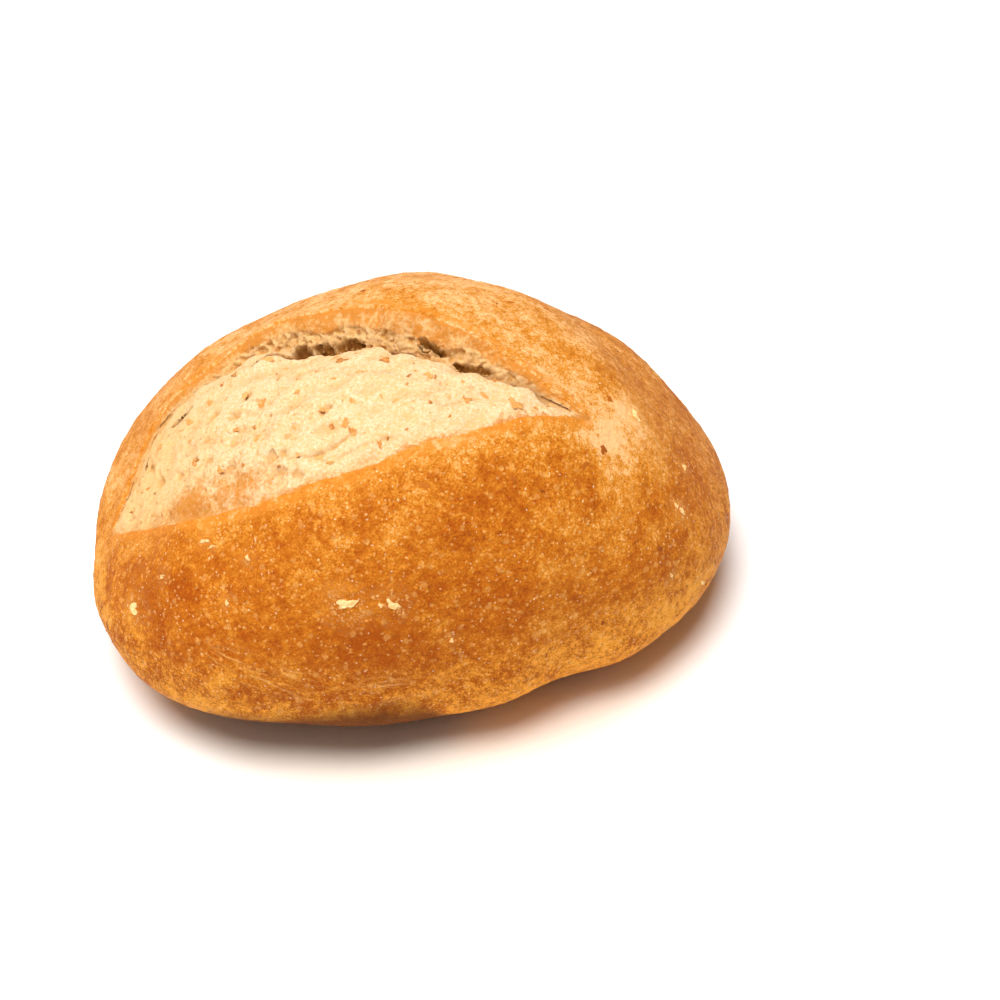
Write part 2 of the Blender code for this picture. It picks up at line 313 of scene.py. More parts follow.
def even_columns(count):
    """`along` angles between the tips, evenly spaced over the skin by its summed length."""
    fine = np.linspace(0.0, math.pi, 6001)
    x, half_width, rise, _ = sections(fine)
    steps = np.sqrt(np.diff(x) ** 2 + np.diff(half_width) ** 2 / 2 + np.diff(rise) ** 2 / 2)
    length = np.concatenate([[0.0], np.cumsum(steps)])
    return np.interp(np.linspace(0.0, length[-1], count + 2)[1:-1], length, fine)


def rows_between(stops, counts):
    """Row values laid evenly between each pair of stops, as many as asked for."""
    bands = []
    for low, high, count in zip(stops, stops[1:], counts):
        share = np.arange(count) / count
        bands.append(low[:, None] + (high - low)[:, None] * share)
    return np.concatenate(bands, axis=1)


CRUST_COLUMNS = 326
CRUST_BANDS = (20, 122, 14, 14, 16, 94, 20)
BASE_EDGE_TURN = 0.74 * math.pi
TIP_BAND = 0.05
LIP_OUTSIDE = 0.0020
LIP_INSIDE = 0.0014
CRUMB_REACH = 0.0006

along = even_columns(CRUST_COLUMNS)
x, half_width, _, _ = sections(along)
share, front, back = score_edges(x)
middle = (front + back) / 2
half_band = np.hypot((back - front) / 2, TIP_BAND * half_width)
outside = half_band + np.minimum(LIP_OUTSIDE, 0.12 * half_width)
inside = np.maximum(half_band - LIP_INSIDE, 0.35 * half_band)
half_turn = np.full_like(along, math.pi)
base_turn = np.full_like(along, BASE_EDGE_TURN)
stops = [-half_turn, -base_turn]
stops += [around_over(along, middle + side) for side in (-outside, -inside, inside, outside)]
stops += [base_turn, half_turn]
around = rows_between(stops, CRUST_BANDS)
along = np.broadcast_to(along[:, None], around.shape)

flat_skin = dome(along, around)
skin_x, skin_y, skin_z = np.moveaxis(flat_skin, -1, 0)
outward = dome_normals(along, around)
share, front, back = score_edges(skin_x)
NO_SCORE_HERE = -0.05
inset = np.minimum(skin_y - front, back - skin_y)
inset = np.where(skin_z > BELLY_HEIGHT, inset, NO_SCORE_HERE)
outside_score = np.maximum(-inset, 0.0)
in_reach = smooth_step(-CRUMB_REACH, 0.0, skin_x - SCORE_LEFT_X)
in_reach = in_reach * smooth_step(-CRUMB_REACH, 0.0, SCORE_RIGHT_X - skin_x)
upper = smooth_step(BELLY_HEIGHT, BELLY_HEIGHT + 0.004, skin_z)
lip_size = smooth_step(0.0, WALL_RUN, back - front) * upper
nearer_back = skin_y > (front + back) / 2
lip_rise = np.where(nearer_back, BACK_LIP_RISE, FRONT_LIP_RISE)
lips = lip_rise * np.exp(-outside_score / LIP_RUN) * lip_size

# Inside the score the skin sinks out of sight, deeper than the crumb that fills it.
CRUMB_SAG = 0.0042
EDGE_STEP = 0.0004
CREVICE_DEPTH = 0.0030
deepest = (CRUMB_SAG + EDGE_STEP + CREVICE_DEPTH) * openness(share, back - front) + TROUGH_MARGIN
trough = deepest * smooth_step(TROUGH_START, TROUGH_EDGE, inset) * in_reach
lumps = waves(flat_skin, LUMP_SEED, LUMP_WAVES, LUMP_LENGTHS, LUMP_HEIGHT) + swells(flat_skin)

# The proofed dough leaves soft dents, pinhead blisters and a pebbled grain on the skin.
DENT_HEIGHT, DENT_LENGTH = 0.00013, 0.0075
BLISTER_HEIGHT, BLISTER_CELL, BLISTER_RADIUS, BLISTER_SHARE = 0.00011, 0.0021, 0.52, 0.55
PEBBLE_HEIGHT, PEBBLE_LENGTH = 0.00005, 0.0011
dents = DENT_HEIGHT * grain(flat_skin, DENT_LENGTH, 31)
jolted = flat_skin + 0.0004 * grain(flat_skin, 0.0016, 5, 1)[..., None]
near, _, number = bubbles(jolted, BLISTER_CELL, 40)
blisters = np.clip(1 - (near / BLISTER_RADIUS) ** 2, 0.0, 1.0) * (number > 1 - BLISTER_SHARE)
blisters = BLISTER_HEIGHT * blisters
pebbles = PEBBLE_HEIGHT * grain(flat_skin, PEBBLE_LENGTH, 51, 2)

# Creases run round the lower front where the dough was rolled up and its skin stretched: fine lines
# laid along one curve that drops from the left end and levels out towards the middle.
CREASE_LOWEST = -1.49
CREASE_CLIMB = 0.335
CREASE_LEVEL_FROM = 1.55
CREASE_TURN_LENGTH = 0.040
CREASE_CLIMB_SPAN = 0.64
CREASE_WANDER = 0.0014
CREASE_BAND = (-0.0010, 0.0034)
RIPPLE_HEIGHT, RIPPLE_LENGTH = 0.00012, 0.0026
climb = np.maximum(CREASE_LEVEL_FROM - along, 0.0) / CREASE_CLIMB_SPAN
crease_course = CREASE_LOWEST + CREASE_CLIMB * climb**2.2
crease_across = CREASE_TURN_LENGTH * (around - crease_course)
crease_across = crease_across + CREASE_WANDER * grain(flat_skin, 0.007, 61)
crease_reach = smooth_step(0.76, 0.98, along) * smooth_step(1.80, 1.45, along)
creased = crease_reach * bell(crease_across, *CREASE_BAND)
creased = creased * smooth_step(-0.5, 0.2, grain(flat_skin, 0.006, 62, 2))
ripples = RIPPLE_HEIGHT * creased * np.sin(2 * math.pi * crease_across / RIPPLE_LENGTH)

# A little flour lies round the chips of dried dough: two angles of each chip's place, its length
# and width in metres, how it is turned, and how floury the skin is round it.
DOUGH_CHIPS = (
    (1.402, -1.080, 0.0031, 0.0018, 1.50, 0.7),
    (0.601, -0.914, 0.0022, 0.0018, 0.90, 0.7),
    (1.537, -1.120, 0.0024, 0.0015, 0.70, 0.8),
    (1.505, -1.105, 0.0009, 0.0007, 0.10, 0.3),
    (0.948, -0.600, 0.0017, 0.0007, 1.45, 0.4),
    (0.975, -0.650, 0.0013, 0.0006, 1.80, 0.4),
    (0.770, -0.728, 0.0012, 0.0007, 2.00, 0.4),
    (1.016, -0.954, 0.0010, 0.0008, 0.20, 0.4),
    (1.105, -0.759, 0.0011, 0.0007, 0.80, 0.7),
    (2.363, -0.134, 0.0024, 0.0012, 0.40, 0.7),
    (2.336, -0.160, 0.0010, 0.0006, 0.90, 0.3),
    (2.556, -0.730, 0.0018, 0.0008, 1.30, 1.0),
    (2.530, -0.690, 0.0011, 0.0005, 0.60, 0.8),
    (2.672, -1.557, 0.0014, 0.0007, 0.50, 0.8),
    (2.600, -0.300, 0.0012, 0.0008, 1.00, 0.7),
    (1.700, -1.330, 0.0010, 0.0007, 0.30, 0.4),
    (2.480, -1.250, 0.0012, 0.0006, 0.40, 0.6),
)
flour = np.zeros_like(lumps)
flour_edge = 0.90 * grain(flat_skin, 0.0030, 92)
for chip_along, chip_around, length, breadth, _, share_floury in DOUGH_CHIPS:
    offset = flat_skin - dome(np.array(chip_along), np.array(chip_around))
    reached = np.linalg.norm(offset, axis=-1) / (0.4 * (length + breadth))
    flour = np.maximum(flour, share_floury * smooth_step(3.2, 0.9, reached + flour_edge))

# Soft patches where the skin is paler, or with a minus sign darker: two angles of the place,
# half-length and half-width in metres, and how much paler. Most are the skin's own uneven bake; the
# paler ones at the lower front and at the left end are painted light on places the lamps leave dim.
PALER_AND_LIT_PATCHES = (
    (1.46, -0.84, 0.0085, 0.0032, 0.30),
    (1.28, -0.90, 0.0048, 0.0042, 0.16),
    (2.27, -0.30, 0.0085, 0.0062, 0.36),
    (2.33, -0.13, 0.0060, 0.0030, 0.22),
    (2.45, -0.34, 0.0060, 0.0050, 0.14),
    (1.25, -0.66, 0.0150, 0.0035, -0.14),
    (0.75, -0.86, 0.0100, 0.0075, -0.20),
    (1.02, -1.12, 0.0060, 0.0050, -0.12),
    (2.47, -0.98, 0.0110, 0.0080, -0.10),
    (0.46, 0.12, 0.0060, 0.0110, 0.12),
    (2.11, 0.30, 0.0120, 0.0060, 0.18),
    (2.73, 0.03, 0.0060, 0.0080, 0.14),
    (1.33, -1.41, 0.0100, 0.0040, 0.14),
)
paler = np.zeros_like(lumps)
patch_edge = 0.35 * grain(flat_skin, 0.0060, 94)
for patch_along, patch_around, half_length, half_breadth, amount in PALER_AND_LIT_PATCHES:
    offset = flat_skin - dome(np.array(patch_along), np.array(patch_around))
    crosswise = np.hypot(offset[..., 1], offset[..., 2])
    reached = np.hypot(offset[..., 0] / half_length, crosswise / half_breadth)
    paler += amount * np.exp(-np.maximum(reached + patch_edge, 0.0) ** 2)
relief = lumps + (dents + blisters + pebbles) * smooth_step(0.0, 0.003, skin_z)
relief = relief + ripples + lips - trough
crust_grid = flat_skin + outward * relief[..., None]
crust_grid[..., 2] = np.maximum(crust_grid[..., 2], 0.0)
crust_grid += CENTRE_SHIFT
tip_points = np.array([[-LENGTH / 2, 0, BELLY_HEIGHT], [LENGTH / 2, 0, BELLY_HEIGHT]])
tip_points = tip_points + CENTRE_SHIFT

# How each place is coloured: the rim's hot edge and the browned shoulder in front of the score
# have baked darker. The paler crown and back left are a painted sheen of the overhead light, and
# the paler foot, most in front, is painted light bounced up from the floor. The dark band at the
# sole is partly the dry baked sole and partly painted shade under the belly, so its edge climbs
# highest in front.
RIM_STRENGTH, RIM_WIDTH = 0.60, 0.0020
BACK_RIM_STRENGTH, BACK_RIM_PLACE, BACK_RIM_WIDTH = 0.55, 0.0010, 0.0011
SOLE_SHADE_HEIGHT, SOLE_SHADE_CLIMB, SOLE_SHADE_PEAK, SOLE_SHADE_WANDER = 0.0064, 0.0094, 0.0026, 0.0016
SOLE_SHADE_FADE = (-0.0056, 0.0006)
BAKE_LEVEL, BAKE_BLOTCH, BAKE_MOTTLE = 0.80, 0.16, 0.18
CROWN_SHEEN, FRONT_BROWNER, FOOT_BOUNCE_LIGHT, BACK_LEFT_SHEEN = 0.42, 0.19, 0.20, 0.16
rim = RIM_STRENGTH * bell(outside_score, 0.0, RIM_WIDTH) * in_reach * upper
rim_back = BACK_RIM_STRENGTH * bell(-inset, BACK_RIM_PLACE, BACK_RIM_WIDTH)
rim_back = rim_back * in_reach * upper * nearer_back
beneath = smooth_step(-0.050, -0.030, skin_x) * smooth_step(0.009, 0.001, skin_x)
tallest_sole_shade = bell(skin_x, -0.009, 0.011)
in_front = smooth_step(0.004, -0.010, skin_y)
# The dark band at the sole: partly the dry sole, partly painted shade under the belly.
sole_shade_edge = SOLE_SHADE_HEIGHT + (SOLE_SHADE_CLIMB * beneath + SOLE_SHADE_PEAK * tallest_sole_shade) * in_front
sole_shade_edge = sole_shade_edge + SOLE_SHADE_WANDER * grain(flat_skin, 0.0045, 85)
sole_and_shade = 1 - smooth_step(sole_shade_edge + SOLE_SHADE_FADE[0], sole_shade_edge + SOLE_SHADE_FADE[1], crust_grid[..., 2])
# Facing up, towards the overhead light, where the crown gets its painted sheen.
facing_up = smooth_step(0.2, 1.0, outward[..., 2])
browned = bell(inset, -0.0095, 0.0075) * ~nearer_back * in_reach
# Low on the sides, where the foot is painted lighter as if lit by light bounced from the floor.
low = smooth_step(0.030, 0.014, skin_z)
behind = smooth_step(-0.002, 0.014, skin_y) * smooth_step(0.012, 0.026, skin_z)
behind_left = behind * smooth_step(0.035, 0.015, skin_x)
bake = BAKE_LEVEL + BAKE_BLOTCH * grain(flat_skin, 0.022, 81, 2)
# Less bake on the crown and the back left: a painted sheen of the overhead light.
bake = bake + BAKE_MOTTLE * grain(flat_skin, 0.0065, 83) - CROWN_SHEEN * facing_up
bake = bake + FRONT_BROWNER * browned - FOOT_BOUNCE_LIGHT * low - BACK_LEFT_SHEEN * behind_left - paler
crust_traits = {
    "bake": bake,
    "rim": np.maximum(rim * ~nearer_back, rim_back),
    "sole_and_shade": sole_and_shade,
    # The painted bounce light at the foot is strongest in front.
    "low": low * (0.35 + 0.65 * in_front),
    "creased": creased,
    "crease_across": crease_across,
    "crease_run": 0.12 * skin_x,
    "flour": flour,
}
crust = skin("crust", crust_grid, tip_points, crust_traits)


def node(tree, kind, inputs=(), **settings):
    """Adds a shader node, laid out after the last one, and sets its properties. An input is given
    a number or a colour, or is linked to the socket of another node."""
    made = tree.nodes.new(kind)
    made.location = (220 * (len(tree.nodes) % 12), -280 * (len(tree.nodes) // 12))
    for key, value in settings.items():
        setattr(made, key, value)
    for key, value in dict(inputs).items():
        if isinstance(value, bpy.types.NodeSocket):
            tree.links.new(value, made.inputs[key])
        else:
            made.inputs[key].default_value = (*value, 1.0) if isinstance(value, tuple) else value
    return made


def noise(tree, vector, scale, detail, roughness=0.5):
    """Fractal noise on the object's own coordinates."""
    inputs = {"Vector": vector, "Scale": scale, "Detail": detail, "Roughness": roughness}
    return node(tree, "ShaderNodeTexNoise", inputs).outputs["Fac"]


def remap(tree, value, low, high, to_low=0.0, to_high=1.0):
    """Stretches a value's range from low..high to to_low..to_high, smoothly and clamped."""
    ends = {"Value": value, "From Min": low, "From Max": high, "To Min": to_low, "To Max": to_high}
    return node(tree, "ShaderNodeMapRange", ends, interpolation_type="SMOOTHSTEP").outputs["Result"]


def times(tree, first, second):
    """The product of two values, each a socket or a number."""
    return node(tree, "ShaderNodeMath", {0: first, 1: second}, operation="MULTIPLY").outputs[0]


def plus(tree, first, second):
    """The sum of two values, each a socket or a number."""
    return node(tree, "ShaderNodeMath", {0: first, 1: second}, operation="ADD").outputs[0]


# The colour sockets of a mix node, by number, because its number sockets have the same names.
MIX_UNDER, MIX_OVER, MIX_COLOUR = 6, 7, 2


def layered(tree, colour, layers):
    """Lays colours on one another in turn. Each layer is a factor, its colour and its strength."""
    for factor, over, strength in layers:
        inputs = {"Factor": times(tree, factor, strength), MIX_UNDER: colour, MIX_OVER: over}
        colour = node(tree, "ShaderNodeMix", inputs, data_type="RGBA").outputs[MIX_COLOUR]
    return colour


def ramp(tree, value, stops):
    """A colour ramp from a list of (position, colour)."""
    made = node(tree, "ShaderNodeValToRGB", {"Fac": value})
    elements = made.color_ramp.elements
    while len(elements) < len(stops):
        elements.new(0.5)
    for element, (position, colour) in zip(elements, stops):
        element.position = position
        element.color = (*colour, 1.0)
    return made.outputs["Color"]


def trait(tree, name):
    """A float attribute of the mesh as a socket."""
    return node(tree, "ShaderNodeAttribute", attribute_name=name).outputs["Fac"]


def bump(tree, height, distance, strength=1.0, below=None):
    """Turns a height into a shading normal, on top of another one if given."""
    inputs = {"Height": height, "Distance": distance, "Strength": strength}
    if below is not None:
        inputs["Normal"] = below
    return node(tree, "ShaderNodeBump", inputs).outputs["Normal"]


def finish_of(name, roughness, specular):
    """A new material, its tree and the object coordinates."""
    material = bpy.data.materials.new(name)
    material.use_nodes = True
    tree = material.node_tree
    shader = tree.nodes["Principled BSDF"]
    shader.inputs["Roughness"].default_value = roughness
    shader.inputs["Specular IOR Level"].default_value = specular
    return material, tree, node(tree, "ShaderNodeTexCoord").outputs["Object"]


def cover(piece, material, colour, lay=None):
    """Links a material's colour, and its normal if given, and puts the material on the piece."""
    tree = material.node_tree
    tree.links.new(colour, tree.nodes["Principled BSDF"].inputs["Base Color"])
    if lay is not None:
        tree.links.new(lay, tree.nodes["Principled BSDF"].inputs["Normal"])
    piece.data.materials.append(material)


def shaken(tree, vector, scale, reach):
    """Coordinates moved about by a colour noise, so that cells laid on them aren't round."""
    stir = node(tree, "ShaderNodeTexNoise", {"Vector": vector, "Scale": scale}).outputs["Color"]
    inputs = {"Fac": reach, "Color1": vector, "Color2": stir}
    return node(tree, "ShaderNodeMixRGB", inputs, blend_type="ADD").outputs["Color"]


def dots(tree, vector, scale, radius, share):
    """Soft dots, one in each cell of 1/scale, in only that share of the cells."""
    cells = node(tree, "ShaderNodeTexVoronoi", {"Vector": vector, "Scale": scale}).outputs
    split = node(tree, "ShaderNodeSeparateColor", {"Color": cells["Color"]}).outputs["Red"]
    disc = remap(tree, cells["Distance"], radius, 0.45 * radius)
    chosen = node(tree, "ShaderNodeMath", {0: split, 1: share}, operation="LESS_THAN").outputs[0]
    return times(tree, disc, chosen)


CRUST_PALE = (0.93, 0.525, 0.225)
CRUST_GOLD = (0.71, 0.272, 0.029)
CRUST_AMBER = (0.54, 0.154, 0.0085)
CRUST_BROWN = (0.38, 0.075, 0.003)
CRUST_RIM = (0.76, 0.262, 0.030)
CRUST_PALE_AND_GLINT = (0.90, 0.50, 0.15)
CRUST_FLOUR = (1.0, 0.82, 0.50)
CRUST_FOOT_BOUNCE = (0.96, 0.410, 0.045)
CRUST_SPECK = (0.32, 0.065, 0.004)
CRUST_SOLE_AND_SHADE = (0.14, 0.036, 0.003)

crust_look, tree, at = finish_of("baked_crust", 0.6, 0.07)
stirred = shaken(tree, at, 800, 0.0009)
mottle = noise(tree, at, 230, 4, 0.65)
freckle = noise(tree, at, 800, 3, 0.7)
speckle = noise(tree, at, 2600, 2, 0.7)

# How dark each point has baked: three sizes of noise and the mesh's own bake, less a constant.
MOTTLE_SHARE, FRECKLE_SHARE, SPECKLE_SHARE = 1.05, 1.10, 1.15
TONE_SHIFT = 1.69
tone = times(tree, mottle, MOTTLE_SHARE)
tone = plus(tree, tone, times(tree, freckle, FRECKLE_SHARE))
tone = plus(tree, tone, times(tree, speckle, SPECKLE_SHARE))
tone = plus(tree, tone, trait(tree, "bake"))
tone = plus(tree, tone, -TONE_SHIFT)
crust_stops = [(0.0, CRUST_PALE), (0.33, CRUST_GOLD), (0.62, CRUST_AMBER), (1.0, CRUST_BROWN)]
colour = ramp(tree, tone, crust_stops)
foot_bounce_spread = times(tree, trait(tree, "low"), remap(tree, tone, 0.85, 0.25))
rim_spread = remap(tree, plus(tree, trait(tree, "rim"), freckle), 0.62, 1.15)
broken = remap(tree, plus(tree, freckle, speckle), 0.98, 1.22)
floury = times(tree, trait(tree, "flour"), broken)

# Fine lines along the creases: noise read on the distance across them and a shortened one along.
run_across = {"X": trait(tree, "crease_across"), "Y": trait(tree, "crease_run")}
run_across = node(tree, "ShaderNodeCombineXYZ", run_across).outputs["Vector"]
lines = noise(tree, run_across, 1050, 3, 0.6)
creased_here = trait(tree, "creased")
lines_pale = times(tree, remap(tree, lines, 0.50, 0.68), creased_here)
lines_dark = times(tree, remap(tree, lines, 0.40, 0.30), creased_here)
crust_layers = (
    # Painted bounce light: the foot lighter and more golden, most in front.
    (foot_bounce_spread, CRUST_FOOT_BOUNCE, 0.80),
    (rim_spread, CRUST_RIM, 0.62),
    # Pale dots: partly paler blisters of the skin, partly painted glints where blisters catch the
    # light.
    (dots(tree, stirred, 560, 0.42, 0.30), CRUST_PALE_AND_GLINT, 0.27),
    (dots(tree, stirred, 1250, 0.45, 0.30), CRUST_PALE_AND_GLINT, 0.40),
    (floury, CRUST_PALE_AND_GLINT, 0.80),
    (dots(tree, stirred, 1500, 0.30, 0.12), CRUST_FLOUR, 0.55),
    (dots(tree, stirred, 700, 0.22, 0.07), CRUST_SPECK, 0.55),
    (lines_pale, CRUST_PALE_AND_GLINT, 0.62),
    (lines_dark, CRUST_SPECK, 0.50),
    # The dark band at the sole: partly the dry baked sole, partly painted shade.
    (trait(tree, "sole_and_shade"), CRUST_SOLE_AND_SHADE, 0.93),
)
lay = bump(tree, noise(tree, at, 620, 3, 0.6), 0.00050)
lay = bump(tree, noise(tree, at, 2100, 2, 0.6), 0.00022, below=lay)
cover(crust, crust_look, layered(tree, colour, crust_layers), lay)
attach(crust, "root")
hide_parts("bread_roll")


# Crumb
# The crumb is the soft inside of the dough, which swelled up out of the score in the oven. It is
# cream-coloured and torn: a bloom that rises from the front lip, and an open-pored wall behind it.
CRUMB_COLUMNS = 548
CRUMB_BANDS = (5, 92, 32, 36, 7, 4)
CRUMB_TUCK = 0.0016
EDGE_STEP_RUN = 0.0016
CREVICE_HALF_WIDTH = 0.0009
CRAG_SEED = 19
CRAG_WAVES = 16
CRAG_HEIGHT = 0.00030
CRAG_LENGTHS = (0.004, 0.011)
SHALLOW_LEFT = 0.72

x = np.linspace(SCORE_LEFT_X - CRUMB_REACH, SCORE_RIGHT_X + CRUMB_REACH, CRUMB_COLUMNS)
share, front, back = score_edges(x)
width = back - front
tuck = CRUMB_TUCK * smooth_step(0.0, 0.01, width) + 0.0003
crevice_y = np.maximum(back - wall_run(share), front + 0.35 * width)
before_crevice = crevice_y - np.minimum(0.0026, 0.3 * width)
after_crevice = crevice_y + np.minimum(0.0012, 0.3 * (back - crevice_y))
stops = [front - tuck, front, before_crevice, after_crevice, back, back + tuck, front - tuck]
plan_y = rows_between(stops, CRUMB_BANDS)
x = np.broadcast_to(x[:, None], plan_y.shape)
along = np.arccos(np.clip(-2 * x / LENGTH, -1.0, 1.0))
around = around_over(along, plan_y)
flat_crumb = dome(along, around)
outward = dome_normals(along, around)
share, front, back = score_edges(x)
width = np.maximum(back - front, 1e-6)
opened = openness(share, width) * (1 - SHALLOW_LEFT * smooth_step(0.31, 0.17, share))
run = np.minimum(wall_run(share), 0.65 * width)
from_front = plan_y - front
from_back = back - plan_y
within = np.minimum(from_front, from_back)

# The tear wanders: its foot and its crevice shift to and fro and gape more in some places.
WANDER_BROAD, WANDER_FINE = 0.0011, 0.00045
SAG_POWER = 1.6
WIDEST_GAPE = 1.9
WALL_POWER = 1.25
RAGGED_EDGE = 0.00024
CREST_DIP = 0.0012
CRUMB_PROUD = 0.00004
TUCK_DEPTH = 0.0014
UNDERSIDE_GAP = 0.0015
CREVICE_SHARE = 0.6
wander = WANDER_BROAD * grain(flat_crumb, 0.0065, 101)
wander = wander + WANDER_FINE * grain(flat_crumb, 0.0018, 103)
torn_back = from_back + wander * opened * smooth_step(0.0, 0.0025, from_back)
across = np.clip(from_front / np.maximum(width - run, 1e-6), 0.0, 1.0)
floor_depth = CRUMB_SAG * opened * across**SAG_POWER
floor_depth = floor_depth + EDGE_STEP * smooth_step(0.0, EDGE_STEP_RUN, from_front)
gaping = 0.9 + 1.5 * grain(flat_crumb * np.array([1.0, 0.3, 0.3]), 0.010, 107, 2)
gaping = np.clip(gaping, 0.15, WIDEST_GAPE)
slit = bell(torn_back, run, CREVICE_HALF_WIDTH)
crevice = CREVICE_SHARE * CREVICE_DEPTH * opened * gaping * slit

# Caves where the crumb has come away furthest: share and across, half-length, half-width, depth.
CAVES = (
    (0.388, 0.856, 0.0029, 0.00140, 0.0032),
    (0.447, 0.858, 0.0016, 0.00095, 0.0024),
    (0.512, 0.868, 0.0028, 0.00080, 0.0022),
    (0.337, 0.830, 0.0022, 0.00090, 0.0012),
    (0.165, 0.780, 0.0019, 0.00055, 0.0019),
    (0.128, 0.700, 0.0011, 0.00050, 0.0016),
    (0.088, 0.760, 0.0008, 0.00040, 0.0012),
    (0.700, 0.850, 0.0026, 0.00045, 0.0016),
    (0.785, 0.800, 0.0030, 0.00042, 0.0015),
)
cave_edge = 0.35 * grain(flat_crumb, 0.0012, 109)
cave_bend = 0.0005 * grain(flat_crumb, 0.0030, 108, 2)
caves = np.zeros_like(crevice)
cave_shade = np.zeros_like(crevice)
cave_depth = np.zeros_like(crevice)
for share_at, across_at, half_length, half_breadth, deep in CAVES:
    lengthwise = (share - share_at) * (SCORE_RIGHT_X - SCORE_LEFT_X) / half_length
    crosswise = (from_front - across_at * width + cave_bend) / half_breadth
    reached = np.hypot(lengthwise, crosswise) + cave_edge
    hole = smooth_step(1.25, 0.45, reached)
    cave_shade = np.maximum(cave_shade, smooth_step(1.35, 0.90, reached))
    caves = np.maximum(caves, hole)
    cave_depth = np.maximum(cave_depth, deep * hole)
foot = (CRUMB_SAG + EDGE_STEP + CREVICE_SHARE * CREVICE_DEPTH) * opened
wall = foot * np.clip(torn_back / run, 0.0, 1.0) ** WALL_POWER
depth = np.where(torn_back > run, floor_depth + crevice, np.minimum(wall, floor_depth + crevice))
tucked = smooth_step(0.0002, 0.0014, -within)
ragged = RAGGED_EDGE * grain(flat_crumb, 0.0013, 104) * smooth_step(0.0030, 0.0, within)

# The bloom's crest sinks in front of the largest caves.
dip = smooth_step(0.345, 0.385, share) * smooth_step(0.56, 0.47, share)
dip = CREST_DIP * (dip + bell(share, 0.402, 0.030))
dip = dip * smooth_step(0.69, 0.79, across + 0.012 * grain(flat_crumb, 0.0016, 112, 2))
dip = dip * smooth_step(run - 0.0006, run + 0.0006, torn_back)
depth = depth + cave_depth + dip - CRUMB_PROUD + TUCK_DEPTH * tucked + ragged * (1 - tucked)
under = np.zeros(plan_y.shape, bool)
under[:, -CRUMB_BANDS[-1]:] = True
depth = np.where(under, depth + UNDERSIDE_GAP + 0.003 * opened, depth)
lumps = waves(flat_crumb, LUMP_SEED, LUMP_WAVES, LUMP_LENGTHS, LUMP_HEIGHT) + swells(flat_crumb)
crumb_grid = flat_crumb + outward * (lumps - depth)[..., None]


def grid_normals(grid):
    """Unit normals of a grid, from the cross product of its slopes along columns and rows."""
    return unit(np.cross(np.gradient(grid, axis=0), np.gradient(grid, axis=1)))


# The bloom is soft torn fluff, with small open pores to the left, a few folds and a crack; the
# wall behind it is a torn honeycomb under a smoother shoulder.
FLUFF_HEIGHT, FUZZ_HEIGHT, FIBRE_HEIGHT = 0.00010, 0.00009, 0.00006
PIT_DEPTH, PINHOLE_DEPTH = 0.00080, 0.00036
HOLLOW_DEPTH, TINY_HOLLOW_DEPTH, SHOULDER_HOLLOW_DEPTH = 0.00095, 0.00040, 0.00014
in_wall = smooth_step(run + 0.0004, run - 0.0006, torn_back)
sunk = crumb_grid.copy()
shoulder_share = 0.50 + 0.30 * grain(sunk, 0.0060, 105)
porous_wall = in_wall * smooth_step(shoulder_share - 0.05, shoulder_share + 0.08, torn_back / run)
porous_wall = porous_wall * smooth_step(0.0, 0.4, opened) * smooth_step(0.0008, 0.0024, from_back)
bloom = 1 - in_wall
shown = smooth_step(-0.0002, 0.0010, within)
crags = waves(flat_crumb, CRAG_SEED, CRAG_WAVES, CRAG_LENGTHS, CRAG_HEIGHT)
drift = np.stack([grain(sunk, 0.0021, 110 + k, 3) for k in range(3)], axis=-1)
fluff = FLUFF_HEIGHT * grain(sunk + 0.0004 * drift, 0.0009, 121, 2)
fuzz = FUZZ_HEIGHT * grain(sunk, 0.00055, 123, 2)
along_fibres = np.array([[0.7, 0.3, 0.0], [-0.5, 1.1, 0.0], [0.0, 0.0, 1.0]])
fibres = grain((sunk + 0.0010 * drift) @ along_fibres, 0.0016, 125, 3)
fibres = FIBRE_HEIGHT * np.clip(1 - np.abs(fibres) * 2.2, -0.4, 1.0)

# Folds where the swelling crumb slid over itself: two ends (share, across), bow, depth, half-width.
FOLDS = (
    (0.400, 0.185, 0.535, 0.225, -0.055, 0.00085, 0.00042),
    (0.366, 0.800, 0.374, 0.590, 0.004, 0.00060, 0.00022),
    (0.585, 0.215, 0.660, 0.360, 0.030, 0.00050, 0.00030),
    (0.500, 0.105, 0.640, 0.130, 0.015, 0.00035, 0.00030),
    (0.300, 0.560, 0.350, 0.390, 0.020, 0.00030, 0.00030),
    (0.180, 0.230, 0.225, 0.330, 0.020, 0.00045, 0.00040),
    (0.700, 0.300, 0.820, 0.480, 0.030, 0.00035, 0.00030),
)
score_length = SCORE_RIGHT_X - SCORE_LEFT_X
folds = np.zeros_like(depth)
for share_1, across_1, share_2, across_2, bow, fold_depth, fold_width in FOLDS:
    span_x, span_y = (share_2 - share_1) * score_length, (across_2 - across_1) * width
    reach = (share - share_1) * score_length * span_x + (across - across_1) * width * span_y
    reach = np.clip(reach / (span_x**2 + span_y**2), 0.0, 1.0)
    line_share = share_1 + (share_2 - share_1) * reach
    line_across = across_1 + (across_2 - across_1) * reach + bow * np.sin(math.pi * reach)
    apart = np.hypot((share - line_share) * score_length, (across - line_across) * width)
    apart = apart + 0.0003 * grain(sunk, 0.0016, 128, 2)
    faded = np.sin(math.pi * np.clip(reach, 0.02, 0.98)) ** 0.5
    folds = np.maximum(folds, fold_depth * faded * bell(apart, 0.0, fold_width))

